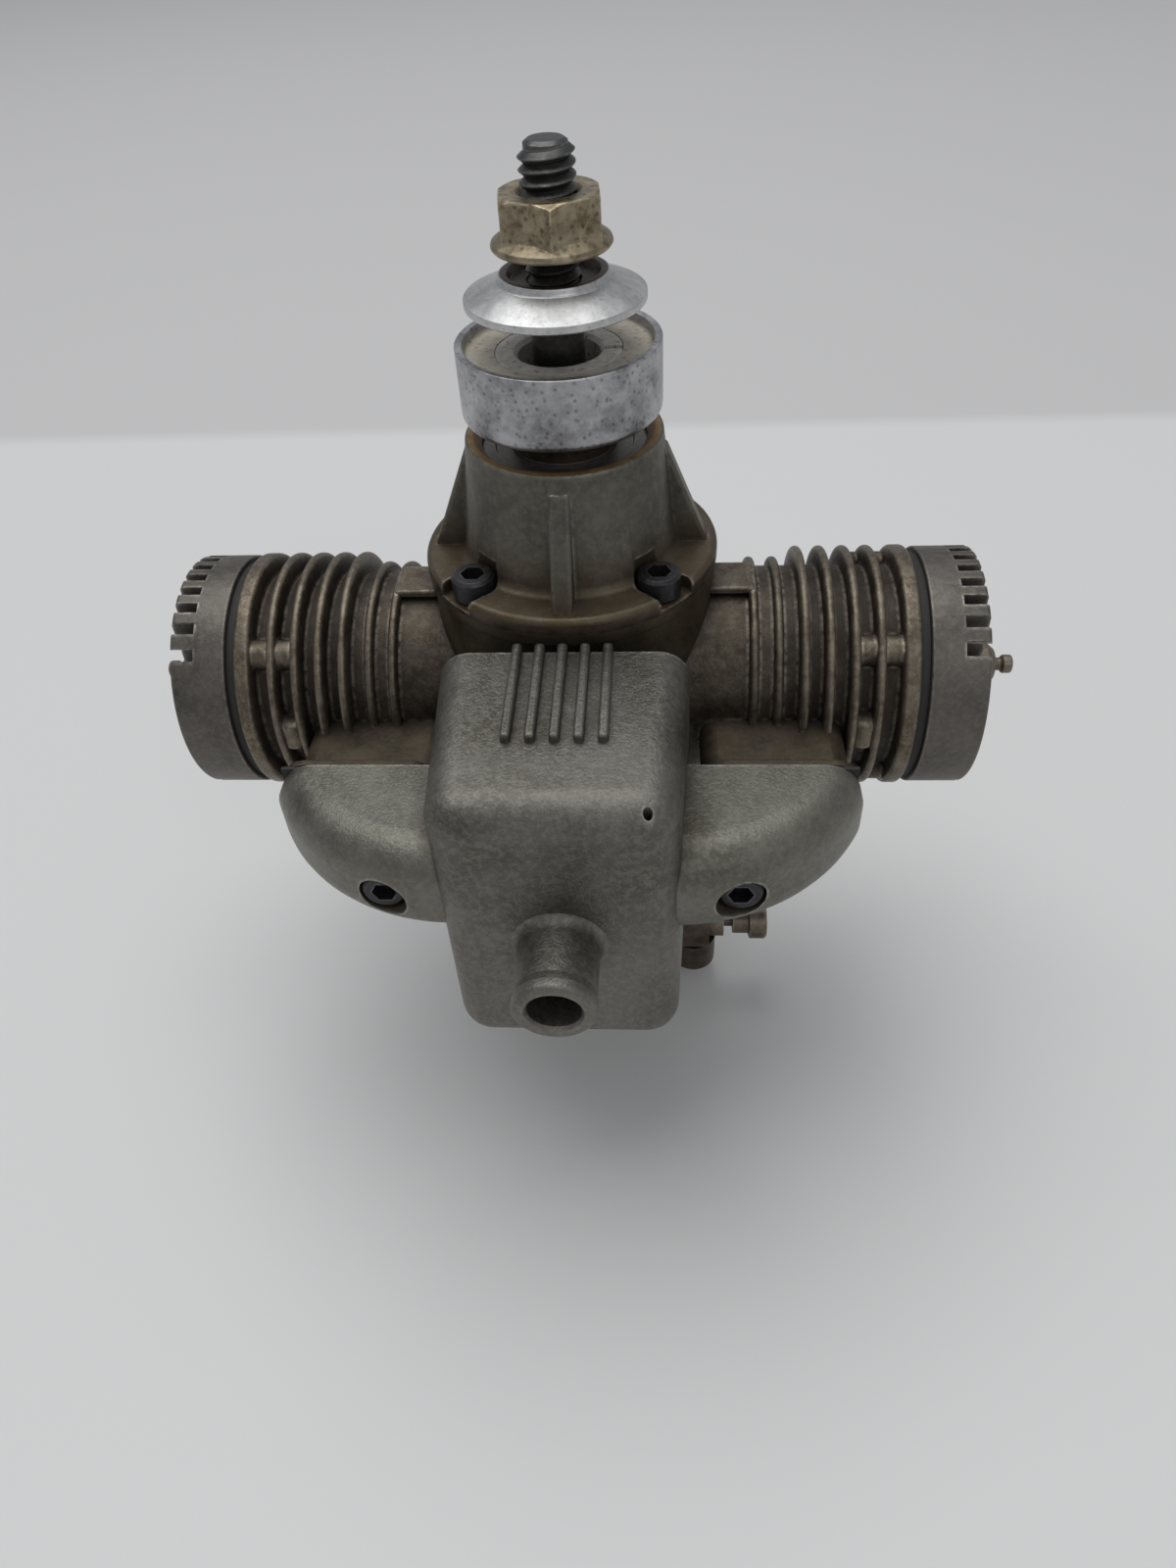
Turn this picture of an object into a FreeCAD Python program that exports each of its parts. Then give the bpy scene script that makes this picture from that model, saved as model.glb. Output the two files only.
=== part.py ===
"""Opposed-twin two-stroke glow engine for a model aircraft, as an assembly.

The crank axis is +Z with the propeller end up, the cylinders lie along X and
the silencer is on the -Y side. The origin is on the crank axis, in the plane
of the rear mounting face. All sizes are in millimetres.
"""
import math
import os

import FreeCAD, Part

V = FreeCAD.Vector
X_AXIS = V(1, 0, 0)
Y_AXIS = V(0, 1, 0)
Z_AXIS = V(0, 0, 1)

# ---------------------------------------------------------------- driving sizes
# running gear
BORE = 22.0                 # cylinder bore, diameter
STROKE = 17.0
ROD_LENGTH = 28.5           # crankpin centre to wrist pin centre
CROWN_HEIGHT = 9.0          # wrist pin centre to piston crown
SQUISH = 0.7                # crown to head joint at top dead centre
PISTON_LENGTH = 18.0
SKIRT_GAP = 0.4             # skirt cut-away clear of the webs at bottom dead centre
PISTON_WALL = 1.7
PISTON_FIT = 0.05           # radial running clearance of the piston
CROWN_T = 3.0
RING_W = 1.2
RING_DEPTH = 1.1
RING_DROP = 2.4             # crown to the ring's upper side
WRIST_PIN_R = 2.5
CRANKPIN_R = 2.75
ROD_W = 5.0
ROD_WALL = 1.8
SIDE_GAP = 0.2              # side clearance of each rod
MID_WEB_T = 2.4
FRONT_WEB_T = 5.0
REAR_WEB_T = 4.0
WEB_GAP = 0.6               # webs clear of the crankcase bore
MID_WEB_LAND = 1.0          # middle web beyond its pins, along and across
MID_WEB_SIDE = 3.2
CHEEK_W = 9.0               # half width of the cut-away side of a web
FIT = 0.04                  # radial clearance of seated round pieces
RUN_FIT = 0.05              # radial clearance of turning round pieces

# crankcase and finned jackets, one casting
CYL_Z = 21.8                # cylinder axis above the mounting face
CASE_R = 19.3
CASE_BORE_R = 14.0
CASE_TOP_Z = 41.7
COVER_T = 3.0               # rear cover flange, the crankcase starts above it
JACKET_R = 14.6
LINER_WALL = 1.5
LINER_FLANGE_T = 1.5
LINER_FLANGE_R = 13.6
LINER_FOOT_X = 20.0
FIN_R = 17.35
FIN_T = 1.1
FIN_TIP_T = 0.5
FIN_PITCH = 3.33
FIN_COUNT = 6
INNER_FIN_R = 15.9          # the fins next to the crankcase are smaller
INNER_FIN_COUNT = 2
TOP_FIN_T = 2.2
TOP_FIN_GAP = 2.45          # clear space between the thick fin and the next
BULGE_R = 15.3              # transfer passages beside the crankcase
BULGE_END_X = 24.0
BAR_W = 6.6
BAR_T = 2.0
PORT_W = 11.0               # width of the exhaust port and its passage
STACK_GAP = 1.3             # stack clear of the silencer's side
STACK_OUTER_X = 37.6
STACK_LOW = 5.8             # stack below and above the cylinder axis
STACK_HIGH = 5.7
STACK_CORNER = 2.0
JOINT_Y = 28.0              # exhaust joint plane, distance from the crank axis
PASSAGE_INNER_X = 25.4
PASSAGE_OUTER_X = 35.4
PASSAGE_LOW = 3.6
PASSAGE_HIGH = 3.6

# heads
GASKET_T = 1.3
HEAD_R = 17.1
HEAD_T = 7.8
HEAD_SLOT_W = 1.4
HEAD_SLOT_D = 3.4
HEAD_SLOT_PITCH = 2.83
HEAD_SLOT_COUNT = 9
HEAD_SLOT_FIRST_Y = -12.2
HEAD_SCREW_EDGE = 1.8       # screw centres in from the head's rim
HEAD_SCREW_R = 1.25
HEAD_SCREW_HEAD_R = 2.2
HEAD_SCREW_HEAD_H = 2.6
HEAD_SCREW_LENGTH = 12.0
SMALL_SOCKET_AF = 2.0
SMALL_SOCKET_D = 1.2
CHAMBER_R = 7.5
CHAMBER_D = 3.6
PLUG_THREAD_R = 3.15
PLUG_SHOULDER_R = 3.25
PLUG_SHOULDER_X = 60.8
PLUG_SEAT_R = 4.0
PLUG_SEAT_DEPTH = 1.0        # the plug's collar sits this far into the head
PLUG_NECK_R = 0.95
PLUG_CAP_R = 1.35
PLUG_TIP_X = 63.3

# front housing
FLANGE_R = 19.8
FLANGE_T = 2.3
FLANGE_ROUND = 0.7
BARREL_FOOT_R = 14.2
BARREL_TOP_R = 12.6
BARREL_H = 15.6             # above the flange
GUSSET_T = 2.7
GUSSET_H = 13.4
GUSSET_FOOT_R = 18.4
FLANGE_SCREW_PCD = 32.8
FLANGE_SCREW_ANGLE = 43.0
FLANGE_SCREW_R = 1.75
FLANGE_SCREW_LENGTH = 10.0
SPOT_R = 3.5
SPOT_D = 0.5
SPIGOT_L = 5.7
SCREW_HEAD_R = 2.82
SCREW_HEAD_H = 3.5
SCREW_SOCKET_AF = 2.78
SCREW_SOCKET_D = 1.9

# bearings: outer diameter, bore, width, ball radius, ball count
MAIN_BEARING = dict(outer=24.0, bore=12.0, width=6.0, ball=1.3, count=8)
NOSE_BEARING = dict(outer=21.0, bore=10.0, width=5.0, ball=1.1, count=8)
RACE_T = 1.6
BALL_GAP = 0.08
CAGE_T = 1.2
NOSE_BEARING_DROP = 1.4     # bearing face below the housing's top
LIP_BEVEL = 0.8

# propeller end of the crankshaft
COLLAR_R = 7.4
SHAFT_END_ABOVE = 6.2       # crankshaft end above the housing's top
STUD_R = 3.175
STUD_DEPTH = 10.0
STUD_ABOVE_HUB = 21.1
STUD_CHAMFER = 0.8
HUB_R = 12.5
HUB_GAP = 1.0               # hub above the housing
HUB_H = 10.5
HUB_RIM_T = 1.0
HUB_RECESS = 1.3
HUB_ROUND = 0.8
HUB_BOSS_R = 6.6
COLLET_TOP_R = 7.75
COLLET_FOOT_R = 6.3
COLLET_H = 7.4
COLLET_SLIT = 1.0
WASHER_R = 10.75
WASHER_RIM_T = 1.0
WASHER_H = 3.5
WASHER_NECK_R = 6.5
WASHER_RECESS_R = 5.2
WASHER_RECESS = 0.8
WASHER_ABOVE_HUB = 4.2
NUT_AF = 11.1
NUT_H = 5.2
NUT_FLANGE_R = 7.0
NUT_FLANGE_T = 1.1
NUT_CROWN = 0.9             # height of the chamfer on the corners
NUT_ABOVE_WASHER = 2.2
NUT_TURN = -84.5            # direction of one corner of the nut

# silencer
BOX_HALF_W = 16.0
BOX_TOP_HALF_W = 14.8
BOX_FOOT_HALF_W = 14.0
BOX_BACK_Y = 20.7
BOX_FRONT_Y = 46.4
BOX_TOP_Z = 40.0
BOX_FOOT_Z = -6.0
BOX_SHOULDER = 9.0          # height of the taper at the top
BOX_TAPER = 19.0            # height of the taper at the foot
BOX_WALL = 2.0
BOX_PLATE_T = 1.6           # plate that closes the back
BOX_PLATE_SINK = 0.3
BOX_PLATE_LEDGE = 0.8
BOX_ROUND = 5.5
RIB_COUNT = 5
RIB_PITCH = 2.85
RIB_T = 1.1
RIB_H = 1.3
RIB_LENGTH = 16.6
RIB_OVERHANG = 0.4          # ribs stand out over the back edge of the box
OUTLET_Z = 16.2
OUTLET_R = 4.9
OUTLET_BORE_R = 3.2
OUTLET_TIP_Y = 58.2
OUTLET_FOOT_R = 6.3
OUTLET_FOOT_T = 1.6
WING_TIP_X = 39.2
WING_LOW = 7.8              # wing below and above the cylinder axis
WING_HIGH = 6.2
WING_FRONT_Y = 45.9
WING_BEND_X = 33.6          # the outline passes this point
WING_BEND_Y = 38.2
WING_LIP = 2.0
WING_ROUND = 4.0
WING_WALL = 2.2
EX_GASKET_T = 0.5
EX_SCREW_X = 22.2
EX_SCREW_DROP = 3.9         # below the cylinder axis
EX_SCREW_HEAD_Y = 41.3
EX_SCREW_GRIP = 6.0
EX_SCREW_R = 1.75
COUNTERBORE_R = 3.2
GASKET_EDGE = 0.3           # gaskets stay inside the joint by this much
HOLE_GAP = 0.15             # radial clearance of screw holes

# rear end
MOUNT_OFFSET = 0.3          # circle of the mount holes outside the middle of the drum's wall
COVER_SCREW_OFFSET = 0.7    # circle of the cover screws inside it
MOUNT_THREAD_R = 1.25       # M3 tapping size
MOUNT_DEPTH = 8.0
COVER_SCREW_R = 1.25
COVER_SCREW_HEAD_R = 2.2
COVER_SCREW_SINK = 2.4
COVER_SCREW_LENGTH = 10.0
CARB_Y = -8.0               # the intake lies beside the crank axis
VALVE_GAP = 0.8             # rotary disc clear of the crankcase bore
VALVE_T = 1.6
VALVE_LIFT = 0.1            # running gap under the disc
VALVE_PORT_R = 4.6          # inner radius of the timing port
VALVE_RIM = 1.4             # disc outside the port
VALVE_POST_TIP = 0.8        # post beyond the disc
VALVE_PORT_START = -60.0
VALVE_PORT_ANGLE = 140.0
VALVE_POST_R = 3.0
VALVE_FACE_Z = 6.9
DOG_R = 1.2
NECK_R = 9.6
NECK_FIT_R = 7.0
NECK_L = 7.0
INTAKE_BORE_R = 4.6
CARB_R = 8.5
CARB_FOOT_Z = -40.0
BELL_R = 10.2
BELL_H = 4.0
BELL_MOUTH_R = 7.4
THROTTLE_Z = -28.2
THROTTLE_R = 5.5
THROTTLE_HOUSE_R = 8.0
THROTTLE_HOUSE_X = 11.5
THROTTLE_STOP = 2.5         # wall at the blind end of the barrel's bore
THROTTLE_END_GAP = 0.2
THROTTLE_OPENING = 35.0     # degrees from fully open at rest
ARM_GAP = 0.6               # arm clear of the housing
ARM_T = 1.4
ARM_LENGTH = 12.0
ARM_W = 5.0
NEEDLE_END_X = 30.4
NEEDLE_KNOB_R = 3.0
NEEDLE_KNOB_L = 3.2
NEEDLE_CLICK_L = 2.6        # ratchet drum behind the knob
NEEDLE_R = 0.9
NEEDLE_BODY_R = 2.6
NEEDLE_BODY_END_X = 23.0
NEEDLE_HEX_AF = 7.0
NEEDLE_HEX_L = 2.4
NEEDLE_SEAT_GAP = 0.3       # sleeve clear of the barrel's end
SPRAY_WALL = 1.0
SPRAY_GAP = 0.2
INLET_X = 17.9
INLET_R = 3.8
INLET_L = 4.5
INLET_BORE_R = 1.0
INLET_RING_W = 5.0

# ---------------------------------------------------------------- derived sizes
WEB_R = CASE_BORE_R - WEB_GAP
VALVE_R = CASE_BORE_R - VALVE_GAP
MOUNT_PCD = CASE_R + CASE_BORE_R + 2 * MOUNT_OFFSET
COVER_SCREW_PCD = CASE_R + CASE_BORE_R - 2 * COVER_SCREW_OFFSET
HEAD_SCREW_PCD = 2 * (HEAD_R - HEAD_SCREW_EDGE)
STACK_INNER_X = BOX_HALF_W + STACK_GAP
BARREL_STOP_X = THROTTLE_HOUSE_X - THROTTLE_STOP
THROW = STROKE / 2
WRIST_X = THROW + ROD_LENGTH
CROWN_X = WRIST_X + CROWN_HEIGHT
DECK_X = CROWN_X + SQUISH                  # outer face of the jacket
HEAD_X = DECK_X + GASKET_T
HEAD_END_X = HEAD_X + HEAD_T
BORE_R = BORE / 2
LINER_R = BORE_R + LINER_WALL
FLANGE_Z = CASE_TOP_Z + FLANGE_T
HOUSING_TOP_Z = FLANGE_Z + BARREL_H
MID_WEB_Z = CYL_Z - MID_WEB_T / 2
FRONT_ROD_Z = CYL_Z + MID_WEB_T / 2 + SIDE_GAP + ROD_W / 2
REAR_ROD_Z = CYL_Z - MID_WEB_T / 2 - SIDE_GAP - ROD_W / 2
FRONT_WEB_Z = FRONT_ROD_Z + ROD_W / 2 + SIDE_GAP
REAR_WEB_TOP_Z = REAR_ROD_Z - ROD_W / 2 - SIDE_GAP
REAR_WEB_Z = REAR_WEB_TOP_Z - REAR_WEB_T
SPIGOT_Z = CASE_TOP_Z - SPIGOT_L
MAIN_BEARING_Z = SPIGOT_Z
NOSE_BEARING_Z = HOUSING_TOP_Z - NOSE_BEARING_DROP - NOSE_BEARING["width"]
NOSE_BEARING_TOP_Z = HOUSING_TOP_Z - NOSE_BEARING_DROP
SHAFT_END_Z = HOUSING_TOP_Z + SHAFT_END_ABOVE
HUB_Z = HOUSING_TOP_Z + HUB_GAP
HUB_TOP_Z = HUB_Z + HUB_H
HUB_FACE_Z = HUB_TOP_Z - HUB_RECESS
COLLET_Z = HUB_FACE_Z - COLLET_H
STUD_TOP_Z = HUB_TOP_Z + STUD_ABOVE_HUB
WASHER_Z = HUB_TOP_Z + WASHER_ABOVE_HUB
NUT_Z = WASHER_Z + WASHER_H + NUT_ABOVE_WASHER
STACK_Z = (CYL_Z - STACK_LOW, CYL_Z + STACK_HIGH)
VALVE_Z = VALVE_FACE_Z + VALVE_LIFT
NECK_Z = -NECK_L


# ---------------------------------------------------------------- shape helpers
def cyl(r, z0, z1, x=0.0, y=0.0):
    """Solid cylinder along Z."""
    return Part.makeCylinder(r, z1 - z0, V(x, y, z0), Z_AXIS)


def cyl_x(r, x0, x1, y=0.0, z=CYL_Z):
    """Solid cylinder along X."""
    return Part.makeCylinder(r, x1 - x0, V(x0, y, z), X_AXIS)


def cyl_y(r, y0, y1, x=0.0, z=CYL_Z):
    """Solid cylinder along Y."""
    return Part.makeCylinder(r, y1 - y0, V(x, y0, z), Y_AXIS)


def block(x, y, z):
    """Box from three (low, high) pairs."""
    size = V(x[1] - x[0], y[1] - y[0], z[1] - z[0])
    return Part.makeBox(size.x, size.y, size.z, V(x[0], y[0], z[0]))


def fuse(shapes):
    """One clean solid from overlapping shapes."""
    return shapes[0].multiFuse(shapes[1:]).removeSplitter()


def cut(shape, tools):
    """Shape less every tool."""
    return shape.cut(Part.makeCompound(tools)).removeSplitter()


def turned(profile):
    """Solid of revolution about the crank axis from (radius, height) points."""
    wire = Part.makePolygon([V(r, 0, z) for r, z in profile + profile[:1]])
    return Part.Face(wire).revolve(V(0, 0, 0), Z_AXIS, 360)


def turned_x(profile, y=0.0, z=CYL_Z):
    """Solid of revolution about an axis along X from (radius, x) points."""
    wire = Part.makePolygon([V(x, y + r, z) for r, x in profile + profile[:1]])
    return Part.Face(wire).revolve(V(0, y, z), X_AXIS, 360)


def prism(points, vector):
    """Extruded polygon."""
    return Part.Face(Part.makePolygon(points + points[:1])).extrude(vector)


def hexagon(across_flats, length, corner=0.0):
    """Hexagonal bar from the origin along Z, one corner at the given angle."""
    r = across_flats / math.sqrt(3)
    angles = [math.radians(corner + 60 * i) for i in range(6)]
    corners = [V(r * math.cos(a), r * math.sin(a), 0) for a in angles]
    return prism(corners, V(0, 0, length))


def moved(shape, vector):
    """Copy of a shape, moved."""
    copy = shape.copy()
    copy.translate(vector)
    return copy


def aimed(shape, direction, place):
    """Copy of a shape drawn along Z, pointed along a direction at a place."""
    copy = shape.copy()
    copy.Placement = FreeCAD.Placement(place, FreeCAD.Rotation(Z_AXIS, direction))
    return copy


def mirrored(shape):
    """The same piece on the other side of the crank axis."""
    return shape.mirror(V(0, 0, 0), X_AXIS)


def on_circle(diameter, angles):
    """(x, y) of points on a circle about the crank axis."""
    r = diameter / 2
    return [(r * math.cos(math.radians(a)), r * math.sin(math.radians(a))) for a in angles]


def cap_screw(head_r, head_h, shank_r, length, socket_af, socket_d):
    """Socket cap screw: the head stands on the origin, the shank points down Z."""
    head = turned([(0, 0), (head_r, 0), (head_r, head_h - 0.3), (head_r - 0.3, head_h), (0, head_h)])
    shank = cyl(shank_r, -length, 0)
    socket = moved(hexagon(socket_af, socket_d + 1.0), V(0, 0, head_h - socket_d))
    return cut(fuse([head, shank]), [socket])


def save(name, *solids):
    """Write one node."""
    shape = solids[0] if len(solids) == 1 else Part.makeCompound(list(solids))
    for solid in shape.Solids:
        if not solid.isValid():
            print("INVALID", name)
    shape.exportStep(os.path.join("parts", name + ".step"))
    print(name, len(shape.Solids), round(shape.Volume, 2))


# ---------------------------------------------------------------- crankcase
FLANGE_SCREW_ANGLES = [
    FLANGE_SCREW_ANGLE,
    180 - FLANGE_SCREW_ANGLE,
    180 + FLANGE_SCREW_ANGLE,
    -FLANGE_SCREW_ANGLE,
]
DIAGONALS = [45, 135, 225, 315]
COVER_SCREW_ANGLES = [20, 160, 200, 340]


def fin(x, radius, thickness):
    """Tapered fin centred on x."""
    half = thickness / 2
    tip = thickness * FIN_TIP_T / 2
    bevel = thickness / 2 - tip
    return turned_x([
        (JACKET_R - 1.0, x - half),
        (radius - bevel, x - half),
        (radius, x - tip),
        (radius, x + tip),
        (radius - bevel, x + half),
        (JACKET_R - 1.0, x + half),
    ])


def fin_places():
    """Centre of each thin fin, counted from the head."""
    first = DECK_X - TOP_FIN_T - TOP_FIN_GAP - FIN_T / 2
    return [first - FIN_PITCH * i for i in range(FIN_COUNT)]


def head_screw_places():
    """(y, z) of the head screws about the cylinder axis."""
    return [(y, CYL_Z + z) for y, z in on_circle(HEAD_SCREW_PCD, DIAGONALS)]


def jacket():
    """Finned jacket on the +X side with its transfer bulge, bar and exhaust stack."""
    pieces = [cyl_x(JACKET_R, 0, DECK_X), cyl_x(BULGE_R, 0, BULGE_END_X)]
    fins = fin_places()
    for i, x in enumerate(fins):
        radius = INNER_FIN_R if i >= FIN_COUNT - INNER_FIN_COUNT else FIN_R
        pieces.append(fin(x, radius, FIN_T))
    pieces.append(fin(DECK_X - TOP_FIN_T / 2, FIN_R, TOP_FIN_T))
    bar_top = CYL_Z + INNER_FIN_R
    pieces.append(block((0, fins[-1]), (-BAR_W / 2, BAR_W / 2), (bar_top - BAR_T, bar_top)))
    for y, z in head_screw_places():
        pieces.append(cyl_x(HEAD_SCREW_HEAD_R, fins[1], DECK_X, y, z))
    stack = block((STACK_INNER_X, STACK_OUTER_X), (-JOINT_Y, -CASE_BORE_R / 2), STACK_Z)
    long_edges = [e for e in stack.Edges if abs(e.tangentAt(0).y) > 0.9]
    pieces.append(stack.makeFillet(STACK_CORNER, long_edges))
    return fuse(pieces)


def jacket_bores():
    """What is bored out of the +X jacket."""
    tools = [
        cyl_x(LINER_R + FIT, 0, DECK_X + 1),
        cyl_x(LINER_FLANGE_R + FIT, DECK_X - LINER_FLANGE_T, DECK_X + 1),
        block(
            (PASSAGE_INNER_X, PASSAGE_OUTER_X),
            (-JOINT_Y - 1, -BORE_R),
            (CYL_Z - PASSAGE_LOW, CYL_Z + PASSAGE_HIGH),
        ),
        cyl_y(EX_SCREW_R + FIT, -JOINT_Y - 1, -JOINT_Y + EX_SCREW_GRIP, EX_SCREW_X, CYL_Z - EX_SCREW_DROP),
    ]
    screw_end = HEAD_END_X - HEAD_SCREW_HEAD_H - HEAD_SCREW_LENGTH
    for y, z in head_screw_places():
        tools.append(cyl_x(HEAD_SCREW_R + FIT, screw_end - 0.5, DECK_X + 1, y, z))
    return tools


def crankcase():
    """Drum with both finned jackets, bored for the crank and the liners."""
    side = jacket()
    body = fuse([cyl(CASE_R, COVER_T, CASE_TOP_Z), side, mirrored(side)])
    bores = jacket_bores()
    tools = [cyl(CASE_BORE_R, COVER_T - 1, CASE_TOP_Z + 1)]
    tools += bores + [mirrored(b) for b in bores]
    for x, y in on_circle(FLANGE_SCREW_PCD, FLANGE_SCREW_ANGLES):
        tools.append(cyl(FLANGE_SCREW_R + FIT, FLANGE_Z - SPOT_D - FLANGE_SCREW_LENGTH - 1, FLANGE_Z, x, y))
    for x, y in on_circle(MOUNT_PCD, DIAGONALS):
        tools.append(cyl(MOUNT_THREAD_R, COVER_T - 1, MOUNT_DEPTH, x, y))
    for x, y in on_circle(COVER_SCREW_PCD, COVER_SCREW_ANGLES):
        tools.append(cyl(COVER_SCREW_R + FIT, COVER_T - 1, COVER_SCREW_LENGTH + 1, x, y))
    return cut(body, tools)


# ---------------------------------------------------------------- cylinder contents
def liner():
    """Flanged liner with one exhaust port and two transfer ports."""
    body = turned_x([
        (BORE_R, LINER_FOOT_X),
        (LINER_R, LINER_FOOT_X),
        (LINER_R, DECK_X - LINER_FLANGE_T),
        (LINER_FLANGE_R, DECK_X - LINER_FLANGE_T),
        (LINER_FLANGE_R, DECK_X),
        (BORE_R, DECK_X),
    ])
    port_top = CROWN_X - STROKE * 0.62
    port_x = (port_top - PORT_W / 2, port_top)
    port_z = (CYL_Z - PASSAGE_LOW, CYL_Z + PASSAGE_HIGH)
    exhaust = block(port_x, (-LINER_R - 1, 0), port_z)
    transfer_x = (port_x[0], port_top - 1.5)
    transfer_y = (-PASSAGE_LOW, PASSAGE_HIGH)
    upper = block(transfer_x, transfer_y, (CYL_Z, CYL_Z + LINER_R + 1))
    lower = block(transfer_x, transfer_y, (CYL_Z - LINER_R - 1, CYL_Z))
    return cut(body, [exhaust, upper, lower])


def ring_places():
    """x of the ring's lower and upper side."""
    top = CROWN_X - RING_DROP
    return top - RING_W, top


def piston():
    """Hollow piston with wrist pin bosses, one ring groove and a skirt cut away for the webs."""
    r = BORE_R - PISTON_FIT
    foot = CROWN_X - PISTON_LENGTH
    roof = CROWN_X - CROWN_T
    low, top = ring_places()
    shell = turned_x([
        (0, CROWN_X),
        (0, roof),
        (r - PISTON_WALL, roof),
        (r - PISTON_WALL, foot),
        (r, foot),
        (r, low - 0.05),
        (r - RING_DEPTH, low - 0.05),
        (r - RING_DEPTH, top + 0.05),
        (r, top + 0.05),
        (r, CROWN_X - 0.4),
        (r - 0.4, CROWN_X),
    ])
    boss_gap = FRONT_ROD_Z + ROD_W / 2 + SIDE_GAP - CYL_Z
    boss_r = WRIST_PIN_R + ROD_WALL
    bosses = []
    for z0, z1 in ((boss_gap, r), (-r, -boss_gap)):
        bosses.append(cyl(boss_r, CYL_Z + z0, CYL_Z + z1, WRIST_X, 0).common(cyl_x(r - 0.5, foot, roof)))
    sweep_r = WEB_R + SKIRT_GAP
    return cut(fuse([shell] + bosses), [
        cyl(WRIST_PIN_R + FIT, CYL_Z - BORE_R - 1, CYL_Z + BORE_R + 1, WRIST_X, 0),
        cyl(sweep_r, FRONT_WEB_Z - SIDE_GAP, CYL_Z + BORE_R + 1, STROKE, 0),
        cyl(sweep_r, CYL_Z - BORE_R - 1, REAR_WEB_TOP_Z + SIDE_GAP, STROKE, 0),
    ])


def piston_ring():
    """Split ring in the piston's groove."""
    low, top = ring_places()
    r = BORE_R - PISTON_FIT / 2
    inner = BORE_R - PISTON_FIT - RING_DEPTH + 0.1
    ring = turned_x([(inner, low), (r, low), (r, top), (inner, top)])
    gap = block((low - 1, top + 1), (0, BORE_R + 1), (CYL_Z - 0.3, CYL_Z + 0.3))
    return cut(ring, [gap])


def wrist_pin():
    """Hollow wrist pin, a little shorter than the bore."""
    half = BORE_R - PISTON_FIT - 1.8
    outer = cyl(WRIST_PIN_R, CYL_Z - half, CYL_Z + half, WRIST_X, 0)
    return cut(outer, [cyl(WRIST_PIN_R * 0.5, CYL_Z - half - 1, CYL_Z + half + 1, WRIST_X, 0)])


def conrod(rod_z):
    """Connecting rod with a fluted shank, at the height of its crankpin."""
    low, high = rod_z - ROD_W / 2, rod_z + ROD_W / 2
    big_r = CRANKPIN_R + ROD_WALL
    small_r = WRIST_PIN_R + ROD_WALL
    foot = low + 0.4
    shank = prism(
        [V(THROW, -3.2, foot), V(WRIST_X, -2.6, foot), V(WRIST_X, 2.6, foot), V(THROW, 3.2, foot)],
        V(0, 0, ROD_W - 0.8),
    )
    body = fuse([cyl(big_r, low, high, THROW), cyl(small_r, low, high, WRIST_X), shank])
    flute = prism(
        [V(THROW + big_r + 1, -1.5, 0), V(WRIST_X - small_r - 1, -1.1, 0),
         V(WRIST_X - small_r - 1, 1.1, 0), V(THROW + big_r + 1, 1.5, 0)],
        V(0, 0, 1.5),
    )
    return cut(body, [
        cyl(CRANKPIN_R + FIT, low - 1, high + 1, THROW),
        cyl(WRIST_PIN_R + FIT, low - 1, high + 1, WRIST_X),
        moved(flute, V(0, 0, high - 1.2)),
        moved(flute, V(0, 0, low - 0.3)),
        cyl_x(0.6, WRIST_X, WRIST_X + small_r + 1, 0, rod_z),
    ])


def crankpin(rod_z):
    """Crankpin that turns in the rod's big end."""
    half = ROD_W / 2 + SIDE_GAP / 2
    return cut(
        cyl(CRANKPIN_R, rod_z - half, rod_z + half, THROW),
        [cyl(CRANKPIN_R * 0.4, rod_z - half - 1, rod_z + half + 1, THROW)],
    )


# ---------------------------------------------------------------- crankshaft
def web(z0, thickness, pin_side):
    """Crank web with its cheeks cut away beside the pin."""
    disc = cyl(WEB_R, z0, z0 + thickness)
    side = (CRANKPIN_R, WEB_R + 1) if pin_side > 0 else (-WEB_R - 1, -CRANKPIN_R)
    cheeks = [
        block(side, (CHEEK_W, WEB_R + 1), (z0 - 1, z0 + thickness + 1)),
        block(side, (-WEB_R - 1, -CHEEK_W), (z0 - 1, z0 + thickness + 1)),
    ]
    return cut(disc, cheeks)


def crankshaft_front():
    """Front web, bearing seats and hollow nose."""
    main_r = MAIN_BEARING["bore"] / 2
    nose_r = NOSE_BEARING["bore"] / 2
    shaft = turned([
        (0, FRONT_WEB_Z),
        (COLLAR_R, FRONT_WEB_Z),
        (COLLAR_R, MAIN_BEARING_Z),
        (main_r - FIT, MAIN_BEARING_Z),
        (main_r - FIT, NOSE_BEARING_Z - 2.0),
        (nose_r - FIT, NOSE_BEARING_Z - 1.0),
        (nose_r - FIT, SHAFT_END_Z - 0.5),
        (nose_r - FIT - 0.5, SHAFT_END_Z),
        (0, SHAFT_END_Z),
    ])
    body = fuse([web(FRONT_WEB_Z, FRONT_WEB_T, 1), shaft])
    return cut(body, [cyl(STUD_R + FIT, SHAFT_END_Z - STUD_DEPTH - 0.5, SHAFT_END_Z + 1)])


def crankshaft_middle():
    """Thin web between the two rods."""
    half = CRANKPIN_R + MID_WEB_SIDE
    disc = cyl(THROW + CRANKPIN_R + MID_WEB_LAND, MID_WEB_Z, MID_WEB_Z + MID_WEB_T)
    return disc.common(block((-WEB_R, WEB_R), (-half, half), (MID_WEB_Z - 1, MID_WEB_Z + MID_WEB_T + 1)))


def crankshaft_rear():
    """Rear web with the pin that drives the rotary valve."""
    dog = cyl(DOG_R, VALVE_Z + 0.4, REAR_WEB_Z + 0.5, THROW)
    return fuse([web(REAR_WEB_Z, REAR_WEB_T, -1), dog])


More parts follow.
